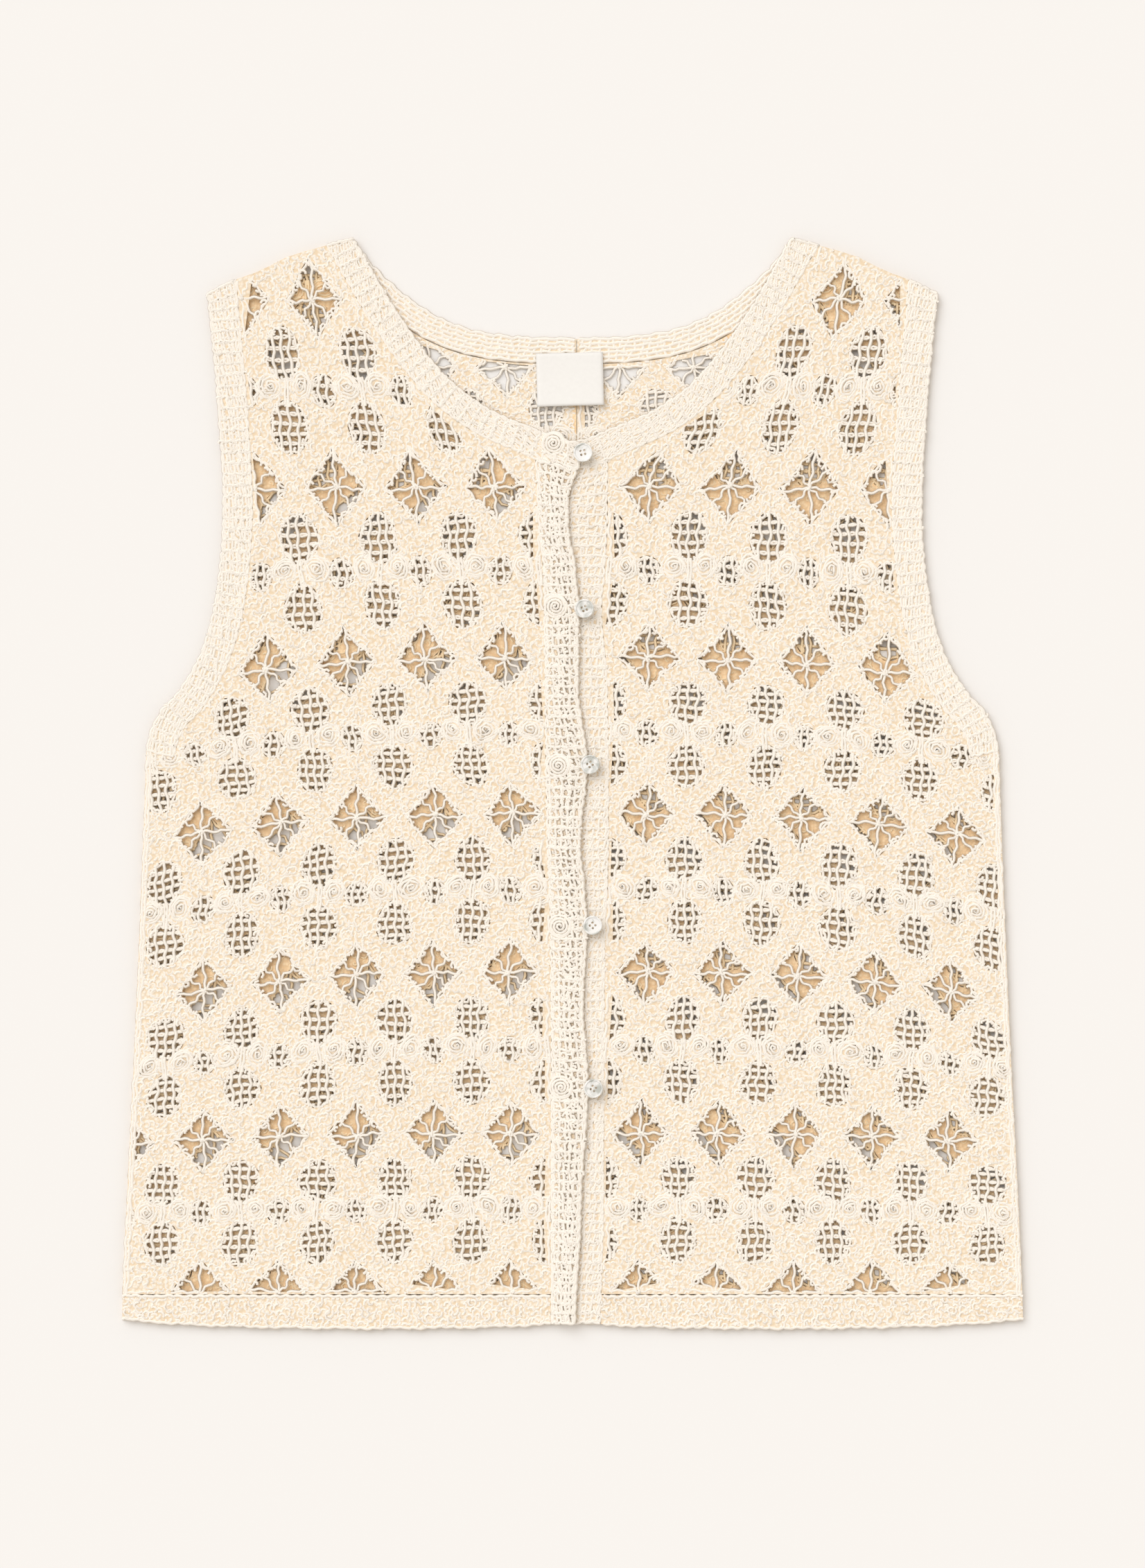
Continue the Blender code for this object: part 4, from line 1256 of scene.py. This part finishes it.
def front_bands(side, draw):
    """The bands of one front, each with its name and its yarn."""
    word = WORDS[side]
    arm = Band(armhole_edge(side, 0), armhole_edge(side, ARM_BAND), ARM_BAND, flat_at(FRONT_BASE))
    arm_yarn = band_rows(arm, 5.9, 4, 2, draw, lean=0.5)
    hem = Band(*hem_edges(side, "front"), HEM_BAND, flat_at(FRONT_BASE))
    hem_yarn = hem_strands(hem, draw)
    end = NECK_OPENING_X if side == LEFT else NECK_OPENING_X - UNDERLAP
    lift = neck_lift if side == LEFT else flat_at(FRONT_BASE)
    neck = Band(*neck_band(side, FRONT_NECK, NECK_BAND, end, 5.4), NECK_BAND, lift)
    clear = BESIDE_BUTTONS[:1] if side == LEFT else ()
    neck_yarn = band_rows(neck, 5.9, 5, 2, draw, lean=1.1, clear=clear)
    return [
        (f"armhole_band_front_{word}", arm, arm_yarn),
        (f"hem_band_front_{word}", hem, hem_yarn),
        (f"neck_band_front_{word}", neck, neck_yarn),
        (f"front_band_{word}", *front_placket(side, draw)),
    ]


def back_bands(side, draw):
    """The bands of one back half, each with its name and its yarn."""
    word = WORDS[side]
    arm = Band(armhole_edge(side, 0), armhole_edge(side, ARM_BAND), ARM_BAND, flat_at(BACK_BASE))
    arm_yarn = band_cords(arm, (1.0, 3.2, 5.5, 9.0, 12.0), draw, COVERED_CORD_STEP)
    hem = Band(*hem_edges(side, "back"), HEM_BAND, flat_at(BACK_BASE))
    hem_yarn = band_cords(hem, (1.0, 3.2, 6.0, 9.0, 12.0), draw, COVERED_CORD_STEP)
    end = BACK_SEAM_X + side * SEAM_GAP / 2
    edges = neck_band(side, BACK_NECK, BACK_NECK_BAND, end, STATION_PITCH)
    neck = Band(*edges, BACK_NECK_BAND, flat_at(BACK_BASE))
    rows = (0.9, 3.1, 5.4, 7.8, 10.2, 12.6)
    neck_yarn = band_cords(neck, rows, draw, CORD_STEP) + band_ties(neck, rows, 4.2, draw)
    return [
        (f"armhole_band_back_{word}", arm, arm_yarn),
        (f"hem_band_back_{word}", hem, hem_yarn),
        (f"neck_band_back_{word}", neck, neck_yarn),
    ]


def make_bands(layer, side):
    """Every band of one half: its ground, which stands for the solid, and its yarn."""
    front = layer == "front"
    draw = random.Random(BAND_SEED + 2 * front + (side > 0))
    made = []
    for name, band, yarn in front_bands(side, draw) if front else back_bands(side, draw):
        if front and not name.startswith("hem"):
            yarn = yarn + band_curls(band, draw)
        if name == "front_band_left":
            yarn = yarn + rosettes(band, BESIDE_BUTTONS[1:], draw)
        if name == "neck_band_front_left":
            yarn = yarn + rosettes(band, BESIDE_BUTTONS[:1], draw)
        ground = finish(band_ground(name + "_ground", band), GROUND)
        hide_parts(name)
        made += [ground, yarn_piece(name + "_yarn", yarn)]
    return made


def rosettes(band, spots, draw):
    """The coiled rosettes beside the buttons."""
    found = []
    for spot in spots:
        path = coil(spot.size + 0.6, draw, 1.5, YARN_PITCH, 0.16)
        path[:, 2] *= 1.3
        flat = path[:, :2] + (spot.x, spot.y)
        middle = (band.outer + band.inner) / 2
        near = np.argmin(np.linalg.norm(middle - (spot.x, spot.y), axis=1))
        span = band.inner[near] - band.outer[near]
        share = ((flat - band.outer[near]) @ span) / (span @ span)
        top = band.lift(flat, np.clip(share, 0, 1)) + CLOTH
        found.append((np.column_stack([flat, top + path[:, 2] - 0.5]), YARN, top))
    return found


def hem_strands(band, draw):
    """Small loops in every direction, a wavy cord above them and a scalloped edge below."""
    along, across = np.arange(1, band.length, CURL_GRID), np.arange(1.2, band.width - 1.4, CURL_GRID)
    room = np.zeros((len(along), len(across)))
    curls = spread_curls([], along, across, room, draw, HEM_CURL_SPACING)

    def keep(flat):
        on_width = (flat[:, 1] > 0.6) & (flat[:, 1] < band.width - 1.2)
        return on_width & (flat[:, 0] > 0.3) & (flat[:, 0] < band.length - 0.3)

    def to_cloth(flat):
        there, base = band.at(flat[:, 0], flat[:, 1])
        return there, base + CLOTH

    found = pad_strands([], curls, draw, PAD_STEP, YARN_PITCH, keep, to_cloth)
    along = np.arange(0, band.length, 1.5)
    across = band.width - 0.8 + 0.35 * np.sin(along * 1.1) + 0.2 * np.sin(along * 0.31)
    found.append(band.path(along, across, -0.7 + 0.1 * np.sin(along * 2.2), 0.95))
    across = 0.75 + 0.3 * np.sin(along * 0.9) + 0.25 * np.sin(along * 0.23)
    found.append(band.path(along, across, -1.0 + 0 * along, EDGE_YARN))
    return found


# Label and buttons

LABEL_WIDTH = 35.6
LABEL_TALL = 28.4
LABEL_TOP = Point(-1.7, 229.8)
LABEL_TURN = math.radians(1.5)
LABEL_LIFT = 1.8
BUTTON_SEAT = FRONT_BASE + CLOTH + 0.5 + LAP_RISE + SEAM_GAP


def make_label():
    """A folded satin tab, bare, its fold at the lower edge and its upper edge sewn down."""
    columns, rows = 25, 21
    points = []
    for layer in (0, 1):
        for j in range(rows):
            for i in range(columns):
                across, down = i / (columns - 1) - 0.5, j / (rows - 1)
                x, y = across * LABEL_WIDTH, -down * LABEL_TALL
                turned_x = LABEL_TOP.x + x * math.cos(LABEL_TURN) - y * math.sin(LABEL_TURN)
                turned_y = LABEL_TOP.y + x * math.sin(LABEL_TURN) + y * math.cos(LABEL_TURN)
                z = CLOTH + 0.6 + LABEL_LIFT * down * down + 0.25 * math.sin(across * 5) * down
                rim = min(i, columns - 1 - i, j, rows - 1 - j) == 0
                puff = 0.45 if not rim else 0.12
                points.append((turned_x, turned_y, z + 0.45 + (puff if layer else -puff)))
    count = columns * rows
    faces = []
    for j in range(rows - 1):
        for i in range(columns - 1):
            a = j * columns + i
            quad = [a, a + columns, a + columns + 1, a + 1]
            faces += [[k + count for k in quad], quad[::-1]]
    ring = (
        [i for i in range(columns)]
        + [j * columns + columns - 1 for j in range(1, rows)]
        + [(rows - 1) * columns + i for i in range(columns - 2, -1, -1)]
        + [j * columns for j in range(rows - 2, 0, -1)]
    )
    for a, b in zip(ring, ring[1:] + ring[:1]):
        faces.append([b, a, a + count, b + count])
    label = add_mesh("label_tab", points, faces)
    turned_out(label)
    for poly in label.data.polygons:
        poly.use_smooth = True
    finish(label, SATIN)
    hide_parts("neck_label")


def make_buttons():
    """Turned shell buttons: a raised rim, a dished middle and four holes drilled through it."""
    sides = 40
    turn = np.linspace(0, 2 * np.pi, sides, endpoint=False)
    ring = np.stack([np.cos(turn), np.sin(turn)], axis=1)
    rim = ((3.9, 1.35), (4.15, 1.75), (4.5, 2.0), (4.85, 1.9), (5.08, 1.5), (5.1, 0.8), (4.8, 0.2), (4.2, 0.0),
           (3.9, 0.3))
    hole_turn = np.linspace(0, 2 * np.pi, 12, endpoint=False)
    for number, place in enumerate(BUTTONS, start=1):
        points, faces = [], []
        for radius, z in rim:
            points += [(x * radius, y * radius, z) for x, y in ring]
        for k in range(len(rim)):
            for i in range(sides):
                a, b = k * sides + i, k * sides + (i + 1) % sides
                c, d = ((k + 1) % len(rim)) * sides + i, ((k + 1) % len(rim)) * sides + (i + 1) % sides
                faces.append([a, c, d, b])
        outer = add_mesh(f"button_{number}_rim", np.array(points), faces)
        holes = []
        for hole in range(4):
            around = math.pi / 4 + hole * math.pi / 2
            holes.append(np.stack([
                1.45 * math.cos(around) + 0.65 * np.cos(hole_turn),
                1.45 * math.sin(around) + 0.65 * np.sin(hole_turn),
            ], axis=1))
        rings = [ring[::4] * r for r in (2.7, 3.4)]

        def dish(spots):
            return 1.2 + 0.2 * np.clip(np.hypot(spots[:, 0], spots[:, 1]) / 4, 0, 1) ** 2

        disc = plate(f"button_{number}_disc", [ring * 4.0, *holes], level(0.3), dish, np.concatenate(rings))
        turned_out(outer)
        stem_points, stem_faces = [], []
        for z in (-3.7, 0.4):
            stem_points += [(x * 1.3, y * 1.3, z) for x, y in ring[::4]]
        for i in range(10):
            a, b = i, (i + 1) % 10
            stem_faces.append([a, b, b + 10, a + 10])
        stem_faces += [list(range(10))[::-1], list(range(10, 20))]
        stem = add_mesh(f"button_{number}_thread", stem_points, stem_faces)
        angle = math.radians(12.0 * number)
        for obj, material, slot in ((outer, SHELL, "pearl_shell"), (disc, SHELL, "pearl_shell"),
                                    (stem, GROUND, "crochet_cotton")):
            for vertex in obj.data.vertices:
                x, y, z = vertex.co
                vertex.co = (
                    place.x * MM + x * math.cos(angle) - y * math.sin(angle),
                    place.y * MM + x * math.sin(angle) + y * math.cos(angle),
                    BUTTON_SEAT * MM + z,
                )
            finish(obj, material)
        for poly in outer.data.polygons:
            poly.use_smooth = True
        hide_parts(f"button_{number}")


# The whole garment

for layer in ("back", "front"):
    for side in (LEFT, RIGHT):
        cloth, size, area, pieces = lace_panel(layer, side)
        pieces += make_bands(layer, side)
make_label()
make_buttons()


# Studio

def studio():
    scene = bpy.context.scene
    scene.view_settings.view_transform = "Standard"
    floor = add_mesh("floor", [(-3000, -3000, 0), (3000, -3000, 0), (3000, 3000, 0), (-3000, 3000, 0)],
                     [(0, 1, 2, 3)])
    plain = bpy.data.materials.new("floor_paper")
    plain.use_nodes = True
    plain.node_tree.nodes["Principled BSDF"].inputs["Base Color"].default_value = (0.859, 0.844, 0.831, 1)
    plain.node_tree.nodes["Principled BSDF"].inputs["Roughness"].default_value = 1.0
    plain.node_tree.nodes["Principled BSDF"].inputs["Specular IOR Level"].default_value = 0.0
    floor.data.materials.append(plain)
    world = bpy.data.worlds.new("studio")
    scene.world = world
    world.use_nodes = True
    world.node_tree.nodes["Background"].inputs["Color"].default_value = (1.0, 0.94, 0.86, 1)
    world.node_tree.nodes["Background"].inputs["Strength"].default_value = 0.72
    lamp = bpy.data.lights.new("softbox", "SUN")
    lamp.energy = 1.6
    lamp.angle = math.radians(50)
    lamp.color = (0.97, 1.0, 1.04)
    box = bpy.data.objects.new("softbox", lamp)
    box.location = (-0.9, 1.1, 1.9)
    box.rotation_euler = (Vector((0, 0, 0)) - box.location).to_track_quat("-Z", "Y").to_euler()
    scene.collection.objects.link(box)
    eye = bpy.data.cameras.new("camera")
    eye.sensor_width = SENSOR
    eye.lens = SENSOR * CAMERA_HEIGHT / (PHOTO_TALL * MM_PER_PIXEL)
    eye.clip_end = 20.0
    camera = bpy.data.objects.new("camera", eye)
    camera.location = (0, 0, CAMERA_HEIGHT * MM)
    scene.collection.objects.link(camera)
    scene.camera = camera


studio()
